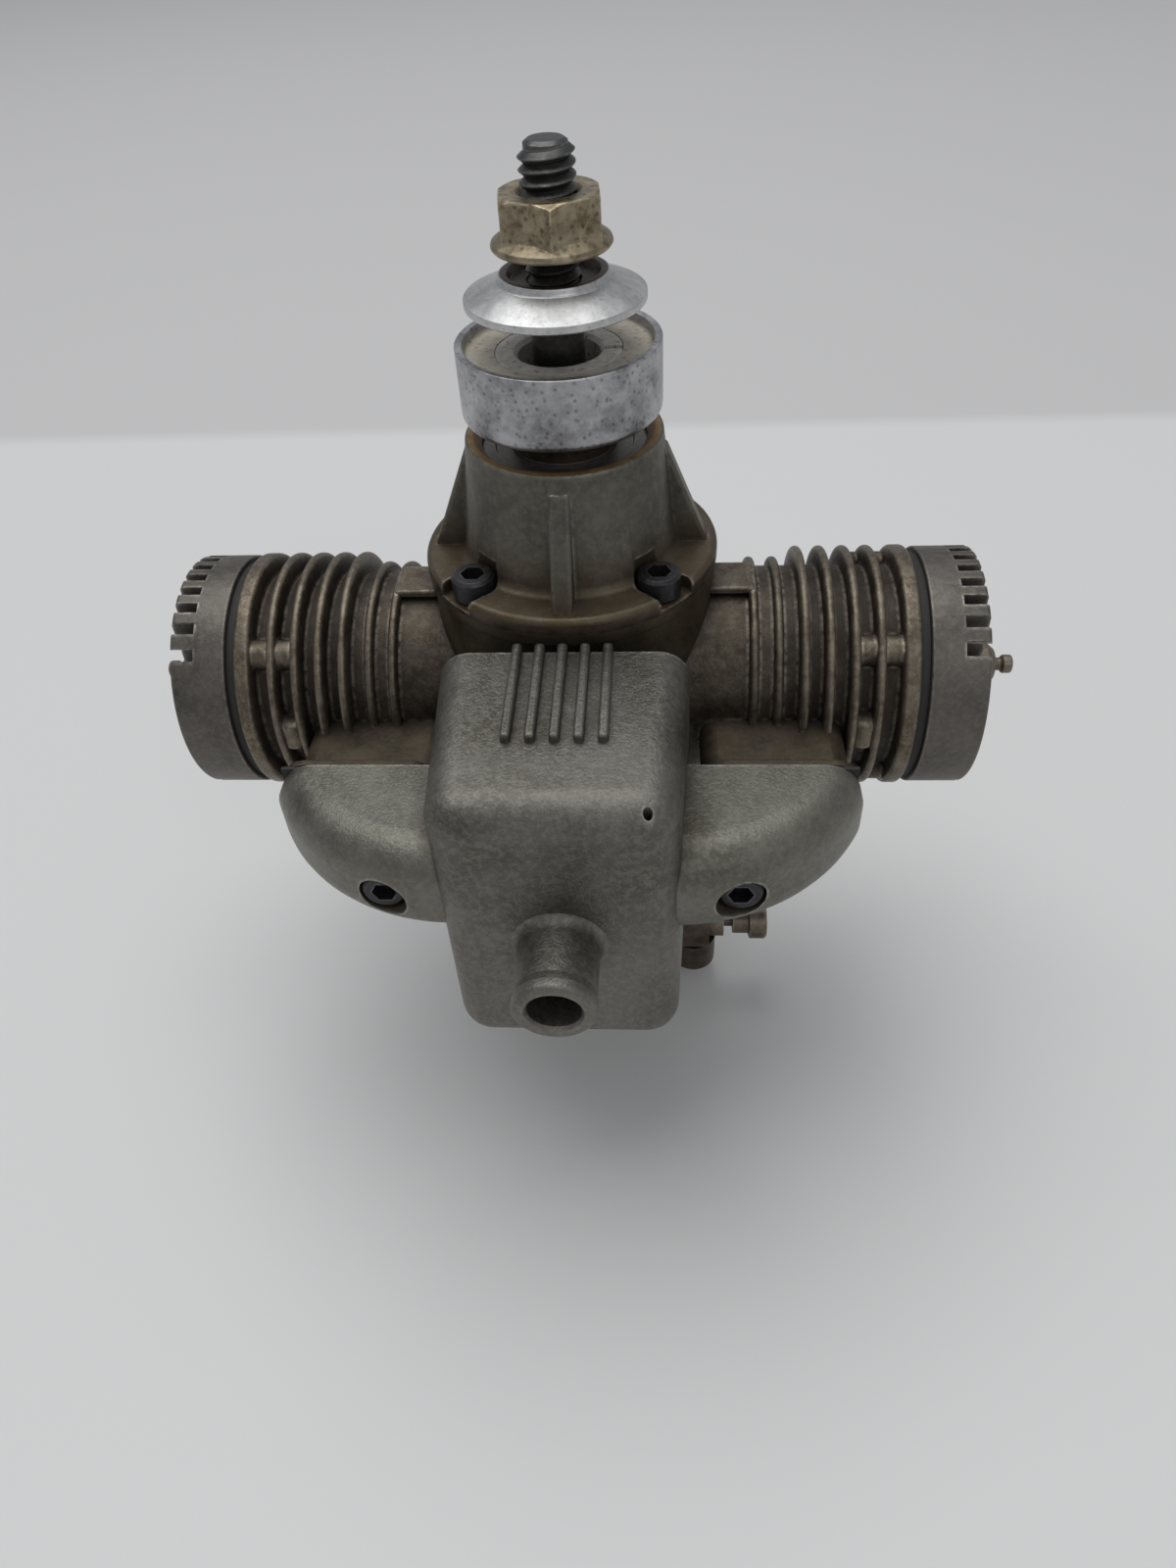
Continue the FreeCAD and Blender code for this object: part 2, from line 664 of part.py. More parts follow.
def rotary_valve():
    """Disc on the rear cover's post, with its timing port and drive hole."""
    top = VALVE_Z + VALVE_T
    disc = cyl(VALVE_R, VALVE_Z, top)
    port_r = VALVE_R - VALVE_RIM
    sector = Part.makeCylinder(port_r, VALVE_T + 2, V(0, 0, VALVE_Z - 1), Z_AXIS, VALVE_PORT_ANGLE)
    port = sector.cut(cyl(VALVE_PORT_R, VALVE_Z - 2, top + 2))
    port.rotate(V(0, 0, 0), Z_AXIS, 180 + VALVE_PORT_START)
    return cut(disc, [
        port,
        cyl(VALVE_POST_R + RUN_FIT, VALVE_Z - 1, top + 1),
        cyl(DOG_R + 0.1, VALVE_Z - 1, top + 1, THROW),
    ])


# ---------------------------------------------------------------- bearings
def bearing(spec, z0):
    """Outer race, inner race, and the crown cage with its balls."""
    outer_r = spec["outer"] / 2
    bore_r = spec["bore"] / 2
    z1 = z0 + spec["width"]
    mid = (z0 + z1) / 2
    pitch_r = (outer_r + bore_r) / 2
    reach = spec["ball"] + BALL_GAP
    race_gap = pitch_r - bore_r - RACE_T
    chord = 0.0 if race_gap >= reach else math.sqrt(reach ** 2 - race_gap ** 2)
    depth = reach - race_gap if race_gap < reach else 0.0

    def race(face_r, seat_r, into):
        """Ring with a shallow track opposite the balls."""
        profile = [(seat_r, z0), (face_r, z0)]
        if depth > 0:
            profile += [(face_r, mid - chord - 0.2), (face_r + into * depth, mid - 0.4)]
            profile += [(face_r + into * depth, mid + 0.4), (face_r, mid + chord + 0.2)]
        return turned(profile + [(face_r, z1), (seat_r, z1)])

    outer = race(pitch_r + race_gap, outer_r - FIT, 1)
    inner = race(pitch_r - race_gap, bore_r, -1)
    angles = [360 / spec["count"] * i for i in range(spec["count"])]
    places = on_circle(2 * pitch_r, angles)
    balls = [Part.makeSphere(spec["ball"], V(x, y, mid)) for x, y in places]
    half = min(CAGE_T, race_gap - 0.15)
    cage = turned([
        (pitch_r - half, mid + 0.5),
        (pitch_r + half, mid + 0.5),
        (pitch_r + half, z1 - 0.3),
        (pitch_r - half, z1 - 0.3),
    ])
    pockets = [Part.makeSphere(spec["ball"] + BALL_GAP, V(x, y, mid)) for x, y in places]
    return outer, inner, [cut(cage, pockets)] + balls


# ---------------------------------------------------------------- front housing
def front_housing():
    """Flanged nose with four gussets and two bearing seats."""
    main_r = MAIN_BEARING["outer"] / 2
    nose_r = NOSE_BEARING["outer"] / 2
    tunnel_r = MAIN_BEARING["bore"] / 2 + 1.2
    seat_top = MAIN_BEARING_Z + MAIN_BEARING["width"]
    body = turned([
        (tunnel_r, seat_top),
        (main_r, seat_top),
        (main_r, SPIGOT_Z),
        (CASE_BORE_R - FIT, SPIGOT_Z),
        (CASE_BORE_R - FIT, CASE_TOP_Z),
        (FLANGE_R, CASE_TOP_Z),
        (FLANGE_R, FLANGE_Z - FLANGE_ROUND),
        (FLANGE_R - FLANGE_ROUND, FLANGE_Z),
        (BARREL_FOOT_R + 0.8, FLANGE_Z),
        (BARREL_FOOT_R, FLANGE_Z + 0.8),
        (BARREL_TOP_R, HOUSING_TOP_Z - 0.3),
        (BARREL_TOP_R - 0.3, HOUSING_TOP_Z),
        (nose_r + LIP_BEVEL, HOUSING_TOP_Z),
        (nose_r, HOUSING_TOP_Z - LIP_BEVEL),
        (nose_r, NOSE_BEARING_Z),
        (tunnel_r, NOSE_BEARING_Z),
    ])
    inside = BARREL_TOP_R - 1.0
    side = -GUSSET_T / 2
    gusset = prism(
        [
            V(inside, side, FLANGE_Z - 0.5),
            V(GUSSET_FOOT_R, side, FLANGE_Z - 0.5),
            V(GUSSET_FOOT_R, side, FLANGE_Z),
            V(inside, side, FLANGE_Z + GUSSET_H + 1),
        ],
        V(0, GUSSET_T, 0),
    )
    gussets = [gusset.rotated(V(0, 0, 0), Z_AXIS, 90 * i) for i in range(4)]
    tools = []
    for x, y in on_circle(FLANGE_SCREW_PCD, FLANGE_SCREW_ANGLES):
        tools.append(cyl(FLANGE_SCREW_R + HOLE_GAP, CASE_TOP_Z - 1, FLANGE_Z + 1, x, y))
        tools.append(cyl(SPOT_R, FLANGE_Z - SPOT_D, FLANGE_Z + SCREW_HEAD_H + 1.5, x, y))
    return cut(fuse([body] + gussets), tools)


def front_housing_screws():
    """Four socket screws through the flange."""
    screw = cap_screw(
        SCREW_HEAD_R, SCREW_HEAD_H, FLANGE_SCREW_R, FLANGE_SCREW_LENGTH, SCREW_SOCKET_AF, SCREW_SOCKET_D
    )
    seat = FLANGE_Z - SPOT_D
    return [moved(screw, V(x, y, seat)) for x, y in on_circle(FLANGE_SCREW_PCD, FLANGE_SCREW_ANGLES)]


# ---------------------------------------------------------------- propeller drive
def prop_driver():
    """Cup-faced hub on a split collet."""
    boss_z = NOSE_BEARING_TOP_Z
    nose_r = NOSE_BEARING["bore"] / 2
    return turned([
        (nose_r + FIT, boss_z),
        (HUB_BOSS_R, boss_z),
        (HUB_BOSS_R, HUB_Z),
        (HUB_R - HUB_ROUND, HUB_Z),
        (HUB_R, HUB_Z + HUB_ROUND),
        (HUB_R, HUB_TOP_Z - 0.2),
        (HUB_R - 0.2, HUB_TOP_Z),
        (HUB_R - HUB_RIM_T, HUB_TOP_Z),
        (HUB_R - HUB_RIM_T, HUB_FACE_Z),
        (COLLET_TOP_R + FIT, HUB_FACE_Z),
        (COLLET_FOOT_R + FIT, COLLET_Z),
        (nose_r + FIT, COLLET_Z),
    ])


def driver_collet():
    """Split taper ring that grips the crankshaft nose."""
    nose_r = NOSE_BEARING["bore"] / 2
    ring = turned([
        (nose_r + FIT, COLLET_Z + 0.1),
        (COLLET_FOOT_R, COLLET_Z + 0.1),
        (COLLET_TOP_R, HUB_FACE_Z),
        (nose_r + FIT, HUB_FACE_Z),
    ])
    slit = block((0, COLLET_TOP_R + 1), (-COLLET_SLIT / 2, COLLET_SLIT / 2), (COLLET_Z - 1, HUB_FACE_Z + 1))
    return cut(ring, [slit])


def prop_stud():
    """Stud screwed into the crankshaft nose."""
    foot = SHAFT_END_Z - STUD_DEPTH
    return turned([
        (0, foot), (STUD_R, foot), (STUD_R, STUD_TOP_Z - STUD_CHAMFER),
        (STUD_R - STUD_CHAMFER, STUD_TOP_Z), (0, STUD_TOP_Z),
    ])


def prop_washer():
    """Coned clamping washer with a recess round the stud."""
    top = WASHER_Z + WASHER_H
    return turned([
        (STUD_R + 2 * FIT, WASHER_Z),
        (WASHER_R - 0.3, WASHER_Z),
        (WASHER_R, WASHER_Z + 0.3),
        (WASHER_R, WASHER_Z + WASHER_RIM_T),
        (WASHER_NECK_R, top - 0.6),
        (WASHER_NECK_R, top),
        (WASHER_RECESS_R, top),
        (WASHER_RECESS_R - 0.4, top - WASHER_RECESS),
        (STUD_R + 2 * FIT, top - WASHER_RECESS),
    ])


def prop_nut():
    """Flanged hexagon nut."""
    hexa = moved(hexagon(NUT_AF, NUT_H, NUT_TURN), V(0, 0, NUT_Z))
    corner_r = NUT_AF / math.sqrt(3)
    top = NUT_Z + NUT_H
    crown = turned([
        (0, NUT_Z),
        (corner_r + 0.1, NUT_Z),
        (corner_r + 0.1, top - NUT_CROWN),
        (NUT_AF / 2 - 0.2, top),
        (0, top),
    ])
    shoulder = NUT_Z + NUT_FLANGE_T + 0.5
    flange = turned([
        (0, NUT_Z),
        (NUT_FLANGE_R - 0.3, NUT_Z),
        (NUT_FLANGE_R, NUT_Z + 0.4),
        (NUT_FLANGE_R - 0.2, NUT_Z + NUT_FLANGE_T * 0.7),
        (NUT_AF / 2, shoulder),
        (0, shoulder),
    ])
    body = fuse([hexa.common(crown), flange])
    return cut(body, [cyl(STUD_R + FIT, NUT_Z - 1, NUT_Z + NUT_H + 1)])


# ---------------------------------------------------------------- heads
def cylinder_head():
    """Slotted round head with its combustion bowl and plug hole."""
    body = turned_x([
        (0, HEAD_X),
        (HEAD_R, HEAD_X),
        (HEAD_R, HEAD_END_X - 0.5),
        (HEAD_R - 0.5, HEAD_END_X),
        (0, HEAD_END_X),
    ])
    sphere_r = (CHAMBER_R ** 2 + CHAMBER_D ** 2) / (2 * CHAMBER_D)
    tools = [
        Part.makeSphere(sphere_r, V(HEAD_X + CHAMBER_D - sphere_r, 0, CYL_Z)),
        cyl_x(PLUG_THREAD_R + FIT, HEAD_X, HEAD_END_X + 1),
    ]
    slot_x = (HEAD_END_X - HEAD_SLOT_D, HEAD_END_X + 1)
    slot_z = (CYL_Z - HEAD_R - 1, CYL_Z + HEAD_R + 1)
    for i in range(HEAD_SLOT_COUNT):
        y = HEAD_SLOT_FIRST_Y + HEAD_SLOT_PITCH * i
        tools.append(block(slot_x, (y - HEAD_SLOT_W / 2, y + HEAD_SLOT_W / 2), slot_z))
    for y, z in head_screw_places():
        tools.append(cyl_x(HEAD_SCREW_R + HOLE_GAP, HEAD_X - 1, HEAD_END_X, y, z))
        tools.append(cyl_x(HEAD_SCREW_HEAD_R + 0.1, HEAD_END_X - HEAD_SCREW_HEAD_H, HEAD_END_X + 1, y, z))
    tools.append(cyl_x(PLUG_SEAT_R + FIT, HEAD_END_X - PLUG_SEAT_DEPTH, HEAD_END_X + 1))
    plain = cyl_x(PLUG_SEAT_R + 1.4, HEAD_X + CHAMBER_D, HEAD_END_X - PLUG_SEAT_DEPTH)
    boss = cut(plain, [cyl_x(PLUG_THREAD_R + FIT, HEAD_X, HEAD_END_X + 1)])
    return fuse([cut(body, tools), boss])


def head_screws():
    """Socket screws that hold one head down."""
    screw = cap_screw(
        HEAD_SCREW_HEAD_R, HEAD_SCREW_HEAD_H, HEAD_SCREW_R, HEAD_SCREW_LENGTH, SMALL_SOCKET_AF, SMALL_SOCKET_D
    )
    seat = HEAD_END_X - HEAD_SCREW_HEAD_H
    return [aimed(screw, X_AXIS, V(seat, y, z)) for y, z in head_screw_places()]


def head_gasket():
    """Gasket between the jacket and the head."""
    inner, outer = BORE_R + GASKET_EDGE, HEAD_R - 2 * GASKET_EDGE - 0.1
    ring = turned_x([(inner, DECK_X), (outer, DECK_X), (outer, HEAD_X), (inner, HEAD_X)])
    places = head_screw_places()
    return cut(ring, [cyl_x(HEAD_SCREW_R + HOLE_GAP, DECK_X - 1, HEAD_X + 1, y, z) for y, z in places])


def glow_plug():
    """Glow plug, threaded body, domed shoulder and contact post."""
    seat = HEAD_END_X - PLUG_SEAT_DEPTH
    return turned_x([
        (0, HEAD_X + CHAMBER_D + 0.3),
        (PLUG_THREAD_R, HEAD_X + CHAMBER_D + 0.3),
        (PLUG_THREAD_R, seat),
        (PLUG_SEAT_R, seat),
        (PLUG_SEAT_R, seat + 2.4),
        (PLUG_SHOULDER_R, seat + 2.8),
        (PLUG_SHOULDER_R, PLUG_SHOULDER_X - 1.6),
        (PLUG_SHOULDER_R * 0.62, PLUG_SHOULDER_X - 0.4),
        (PLUG_NECK_R, PLUG_SHOULDER_X),
        (PLUG_NECK_R, PLUG_TIP_X - 1.6),
        (PLUG_CAP_R, PLUG_TIP_X - 1.2),
        (PLUG_CAP_R, PLUG_TIP_X - 0.3),
        (PLUG_CAP_R * 0.6, PLUG_TIP_X),
        (0, PLUG_TIP_X),
    ])


# ---------------------------------------------------------------- silencer
def box_form(inset, back_y=BOX_BACK_Y):
    """Rounded, tapered box up to a back plane; an inset makes its hollow."""
    top, foot = BOX_TOP_Z - inset, BOX_FOOT_Z + inset
    front = -BOX_FRONT_Y + inset
    outline = [
        V(BOX_TOP_HALF_W - inset, -back_y, top),
        V(BOX_HALF_W - inset, -back_y, BOX_TOP_Z - BOX_SHOULDER),
        V(BOX_HALF_W - inset, -back_y, BOX_FOOT_Z + BOX_TAPER),
        V(BOX_FOOT_HALF_W - inset, -back_y, foot),
    ]
    outline += [V(-p.x, p.y, p.z) for p in reversed(outline)]
    form = prism(outline, V(0, front + back_y, 0))
    corners = []
    for edge in form.Edges:
        middle = edge.CenterOfMass
        at_front = abs(middle.y - front) < 0.01
        flat_corner = abs(abs(middle.x) - BOX_HALF_W) < inset + 0.5 and top - 1 > middle.z > foot + 1
        along_y = abs(edge.tangentAt(edge.FirstParameter).y) > 0.9
        if at_front or (along_y and not flat_corner):
            corners.append(edge)
    return form.makeFillet(max(BOX_ROUND - inset, 1.0), corners)


def muffler_box():
    """Open-backed box with ribs on top, the outlet stub in front and a port each side."""
    ledge_y = BOX_BACK_Y + BOX_PLATE_SINK + BOX_PLATE_T
    seat = box_form(BOX_WALL - BOX_PLATE_LEDGE, BOX_BACK_Y - 1)
    seat = seat.common(block((-BOX_HALF_W, BOX_HALF_W), (-ledge_y, 0), (BOX_FOOT_Z, BOX_TOP_Z)))
    pieces = [cut(box_form(0.0), [box_form(BOX_WALL, BOX_BACK_Y - 1), seat])]
    back = -BOX_BACK_Y + RIB_OVERHANG
    for i in range(RIB_COUNT):
        x = (i - (RIB_COUNT - 1) / 2) * RIB_PITCH
        sides = (x - RIB_T / 2, x + RIB_T / 2)
        rooted = (BOX_TOP_Z - BOX_WALL / 2, BOX_TOP_Z + RIB_H)
        pieces.append(block(sides, (back - RIB_LENGTH, -BOX_BACK_Y), rooted))
        pieces.append(block(sides, (-BOX_BACK_Y - 1, back), (BOX_TOP_Z, BOX_TOP_Z + RIB_H)))
    pieces.append(cyl_y(OUTLET_R, -OUTLET_TIP_Y, -BOX_FRONT_Y + BOX_WALL / 2, 0, OUTLET_Z))
    foot = V(0, -BOX_FRONT_Y - OUTLET_FOOT_T, OUTLET_Z)
    pieces.append(Part.makeCone(OUTLET_R, OUTLET_FOOT_R, OUTLET_FOOT_T, foot, Y_AXIS))
    port_z = (CYL_Z - PORT_W / 2 + 1, CYL_Z + PORT_W / 2 - 2)
    return cut(fuse(pieces), [
        cyl_y(OUTLET_BORE_R, -OUTLET_TIP_Y - 1, -BOX_FRONT_Y + BOX_WALL + 1, 0, OUTLET_Z),
        block((-BOX_HALF_W - 1, BOX_HALF_W + 1), (-JOINT_Y - PORT_W, -JOINT_Y - 2), port_z),
    ])


def muffler_plate():
    """Plate pressed into the back of the box."""
    inset = BOX_WALL - BOX_PLATE_LEDGE + FIT
    front_y = BOX_BACK_Y + BOX_PLATE_SINK + BOX_PLATE_T
    form = box_form(inset, BOX_BACK_Y + BOX_PLATE_SINK)
    return form.common(block((-BOX_HALF_W, BOX_HALF_W), (-front_y, 0), (BOX_FOOT_Z, BOX_TOP_Z)))


def wing_form(inset):
    """Curved body between the exhaust joint and the box; an inset makes its hollow."""
    hollow = inset > 0
    back = -JOINT_Y - EX_GASKET_T + (1.0 if hollow else 0.0)
    root = BOX_HALF_W - BOX_ROUND
    tip = WING_TIP_X - inset
    front = -WING_FRONT_Y + inset
    low = CYL_Z - WING_LOW + inset
    high = CYL_Z + WING_HIGH - inset
    shoulder = V(tip, back - WING_LIP, low)
    bend = V(WING_BEND_X - inset * 0.7, -WING_BEND_Y + inset * 0.7, low)
    corners = V(root, back, low), V(tip, back, low), V(root, front, low)
    edges = [
        Part.makeLine(corners[0], corners[1]),
        Part.makeLine(corners[1], shoulder),
        Part.Arc(shoulder, bend, corners[2]).toShape(),
        Part.makeLine(corners[2], corners[0]),
    ]
    return Part.Face(Part.Wire(edges)).extrude(V(0, 0, high - low))


def exhaust_manifold():
    """Hollow wing on the +X side with the counterbore of its screw."""
    outer = wing_form(0.0)
    rims = []
    for edge in outer.Edges:
        middle = edge.CenterOfMass
        flat = abs(edge.tangentAt(edge.FirstParameter).z) < 0.1
        curved = edge.Curve.TypeId == "Part::GeomCircle"
        if flat and curved:
            rims.append(edge)
    outer = cut(outer.makeFillet(WING_ROUND, rims), [box_form(0.0)])
    screw_z = CYL_Z - EX_SCREW_DROP
    core = wing_form(WING_WALL)
    boss = cyl_y(COUNTERBORE_R + 1.2, -WING_FRONT_Y, -JOINT_Y, EX_SCREW_X, screw_z)
    return cut(outer, [
        cut(core, [boss]),
        cyl_y(EX_SCREW_R + HOLE_GAP, -WING_FRONT_Y - 1, -JOINT_Y, EX_SCREW_X, screw_z),
        cyl_y(COUNTERBORE_R, -WING_FRONT_Y - 3, -EX_SCREW_HEAD_Y + SCREW_HEAD_H, EX_SCREW_X, screw_z),
    ])


def exhaust_screw():
    """Long socket screw of the +X manifold."""
    seat_y = -EX_SCREW_HEAD_Y + SCREW_HEAD_H
    length = -JOINT_Y + EX_SCREW_GRIP - 1.0 - seat_y
    screw = cap_screw(SCREW_HEAD_R, SCREW_HEAD_H, EX_SCREW_R, length, SCREW_SOCKET_AF, SCREW_SOCKET_D)
    return aimed(screw, V(0, -1, 0), V(EX_SCREW_X, seat_y, CYL_Z - EX_SCREW_DROP))


def exhaust_gasket():
    """Gasket between the +X stack and its manifold."""
    plate = block(
        (STACK_INNER_X + GASKET_EDGE, STACK_OUTER_X - GASKET_EDGE),
        (-JOINT_Y - EX_GASKET_T, -JOINT_Y),
        (STACK_Z[0] + GASKET_EDGE, STACK_Z[1] - GASKET_EDGE),
    )
    through = (-JOINT_Y - 2, -JOINT_Y + 1)
    window = block((PASSAGE_INNER_X, PASSAGE_OUTER_X), through, (CYL_Z - PASSAGE_LOW, CYL_Z + PASSAGE_HIGH))
    return cut(plate, [window, cyl_y(EX_SCREW_R + HOLE_GAP, *through, EX_SCREW_X, CYL_Z - EX_SCREW_DROP)])


# ---------------------------------------------------------------- rear end
def rear_cover():
    """Rear cover with the valve's face and post, and the carburettor's neck."""
    body = turned([
        (0, 0),
        (CASE_R, 0),
        (CASE_R, COVER_T),
        (CASE_BORE_R - FIT, COVER_T),
        (CASE_BORE_R - FIT, VALVE_FACE_Z),
        (VALVE_POST_R, VALVE_FACE_Z),
        (VALVE_POST_R, VALVE_Z + VALVE_T + VALVE_POST_TIP),
        (0, VALVE_Z + VALVE_T + VALVE_POST_TIP),
    ])
    neck = cyl(NECK_R, NECK_Z, COVER_T / 2, 0, CARB_Y)
    tools = [
        cyl(INTAKE_BORE_R, NECK_Z - 1, VALVE_FACE_Z + 1, 0, CARB_Y),
        cyl(NECK_FIT_R + FIT, NECK_Z - 1, 0, 0, CARB_Y),
    ]
    for x, y in on_circle(MOUNT_PCD, DIAGONALS):
        tools.append(cyl(MOUNT_THREAD_R, -1, VALVE_FACE_Z + 1, x, y))
    for x, y in on_circle(COVER_SCREW_PCD, COVER_SCREW_ANGLES):
        tools.append(cyl(COVER_SCREW_R + HOLE_GAP, -1, VALVE_FACE_Z + 1, x, y))
        tools.append(cyl(COVER_SCREW_HEAD_R + 0.1, -1, COVER_SCREW_SINK, x, y))
    return cut(fuse([body, neck]), tools)


def rear_cover_screws():
    """Four sunk socket screws."""
    head_h, grip = COVER_SCREW_SINK - 0.1, COVER_SCREW_LENGTH - COVER_SCREW_SINK
    screw = cap_screw(COVER_SCREW_HEAD_R, head_h, COVER_SCREW_R, grip, SMALL_SOCKET_AF, SMALL_SOCKET_D)
    places = on_circle(COVER_SCREW_PCD, COVER_SCREW_ANGLES)
    return [aimed(screw, V(0, 0, -1), V(x, y, COVER_SCREW_SINK)) for x, y in places]


def carburettor_body():
    """Throttled intake on the crank axis with its cross housing."""
    spigot_top = -FIT
    body = turned([
        (INTAKE_BORE_R, spigot_top),
        (NECK_FIT_R, spigot_top),
        (NECK_FIT_R, NECK_Z),
        (CARB_R, NECK_Z - 1.0),
        (CARB_R, CARB_FOOT_Z + BELL_H),
        (BELL_R, CARB_FOOT_Z + 1.0),
        (BELL_R, CARB_FOOT_Z),
        (BELL_MOUTH_R, CARB_FOOT_Z),
        (INTAKE_BORE_R, CARB_FOOT_Z + BELL_H + 1.0),
    ])
    house = cyl_x(THROTTLE_HOUSE_R, -THROTTLE_HOUSE_X, THROTTLE_HOUSE_X, 0, THROTTLE_Z)
    solid = fuse([body, cut(house, [cyl(INTAKE_BORE_R, THROTTLE_Z - 20, THROTTLE_Z + 20)])])
    return cut(solid, [
        cyl_x(THROTTLE_R + RUN_FIT, -THROTTLE_HOUSE_X - 1, BARREL_STOP_X, 0, THROTTLE_Z),
        cyl_x(NEEDLE_BODY_R + FIT, BARREL_STOP_X - 1, THROTTLE_HOUSE_X + 1, 0, THROTTLE_Z),
    ])


def throttle_barrel():
    """Rotating barrel with its cross bore, part open."""
    body = cyl_x(THROTTLE_R, -THROTTLE_HOUSE_X - ARM_GAP, BARREL_STOP_X - THROTTLE_END_GAP, 0, THROTTLE_Z)
    bore = cyl(INTAKE_BORE_R, THROTTLE_Z - 10, THROTTLE_Z + 10)
    bore = bore.rotated(V(0, 0, THROTTLE_Z), X_AXIS, THROTTLE_OPENING)
    spray = cyl_x(NEEDLE_R + SPRAY_WALL + SPRAY_GAP, 0, THROTTLE_HOUSE_X, 0, THROTTLE_Z)
    return cut(body, [bore, spray])


def throttle_arm():
    """Arm clamped on the barrel's outer end."""
    x0 = -THROTTLE_HOUSE_X - ARM_GAP - ARM_T
    round_end = ARM_W / 2
    half = round_end - 0.8
    arm = fuse([
        cyl_x(round_end + 1.5, x0, x0 + ARM_T, 0, THROTTLE_Z),
        cyl_x(round_end - 0.6, x0, x0 + ARM_T, ARM_LENGTH, THROTTLE_Z),
        block((x0, x0 + ARM_T), (0, ARM_LENGTH), (THROTTLE_Z - half, THROTTLE_Z + half)),
    ])
    return cut(arm, [cyl_x(0.8, x0 - 1, x0 + ARM_T + 1, ARM_LENGTH, THROTTLE_Z)])


def idle_needle():
    """Idle mixture screw in the middle of the arm."""
    x1 = -THROTTLE_HOUSE_X - ARM_GAP - ARM_T
    head = cyl_x(2.0, x1 - 2.0, x1, 0, THROTTLE_Z)
    return cut(head, [block((x1 - 3, x1 - 1.2), (-3, 3), (THROTTLE_Z - 0.4, THROTTLE_Z + 0.4))])


def needle_body():
    """Threaded sleeve of the main needle with its hexagon and spray tube."""
    seat = THROTTLE_HOUSE_X
    bore_r = NEEDLE_R + RUN_FIT
    start = BARREL_STOP_X + NEEDLE_SEAT_GAP
    sleeve = turned_x([
        (bore_r, start),
        (NEEDLE_BODY_R, start),
        (NEEDLE_BODY_R, NEEDLE_BODY_END_X),
        (bore_r, NEEDLE_BODY_END_X),
    ], 0, THROTTLE_Z)
    nut = aimed(hexagon(NEEDLE_HEX_AF, NEEDLE_HEX_L), X_AXIS, V(seat, 0, THROTTLE_Z))
    nut = cut(nut, [cyl_x(NEEDLE_BODY_R - 0.5, seat - 1, seat + NEEDLE_HEX_L + 1, 0, THROTTLE_Z)])
    tube_r = NEEDLE_R + SPRAY_WALL
    end = start + 0.5
    tube = turned_x([(bore_r, 1.0), (tube_r, 1.0), (tube_r, end), (bore_r, end)], 0, THROTTLE_Z)
    return fuse([sleeve, nut, tube])


def fuel_inlet():
    """Banjo inlet that hangs from the needle sleeve."""
    top = THROTTLE_Z
    half = INLET_RING_W / 2
    ring = cyl_x(NEEDLE_BODY_R + 2.0, INLET_X - half, INLET_X + half, 0, THROTTLE_Z)
    barrel = cyl(INLET_R, top - NEEDLE_BODY_R - 2.0 - INLET_L, top - NEEDLE_BODY_R - 0.6, INLET_X, 0)
    body = fuse([ring, barrel])
    return cut(body, [
        cyl_x(NEEDLE_BODY_R + FIT, INLET_X - 5, INLET_X + 5, 0, THROTTLE_Z),
        cyl(INLET_BORE_R, top - 30, top - NEEDLE_BODY_R, INLET_X, 0),
    ])


def main_needle():
    """Needle with its knurled knob."""
    knob = NEEDLE_END_X - NEEDLE_KNOB_L
    click = knob - NEEDLE_CLICK_L
    click_r = NEEDLE_KNOB_R * 0.7
    return turned_x([
        (0, 3.0),
        (NEEDLE_R * 0.4, 4.0),
        (NEEDLE_R, 9.0),
        (NEEDLE_R, click),
        (click_r, click),
        (click_r, knob),
        (NEEDLE_KNOB_R, knob + 0.3),
        (NEEDLE_KNOB_R, NEEDLE_END_X - 0.4),
        (NEEDLE_KNOB_R - 0.4, NEEDLE_END_X),
        (0, NEEDLE_END_X),
    ], 0, THROTTLE_Z)


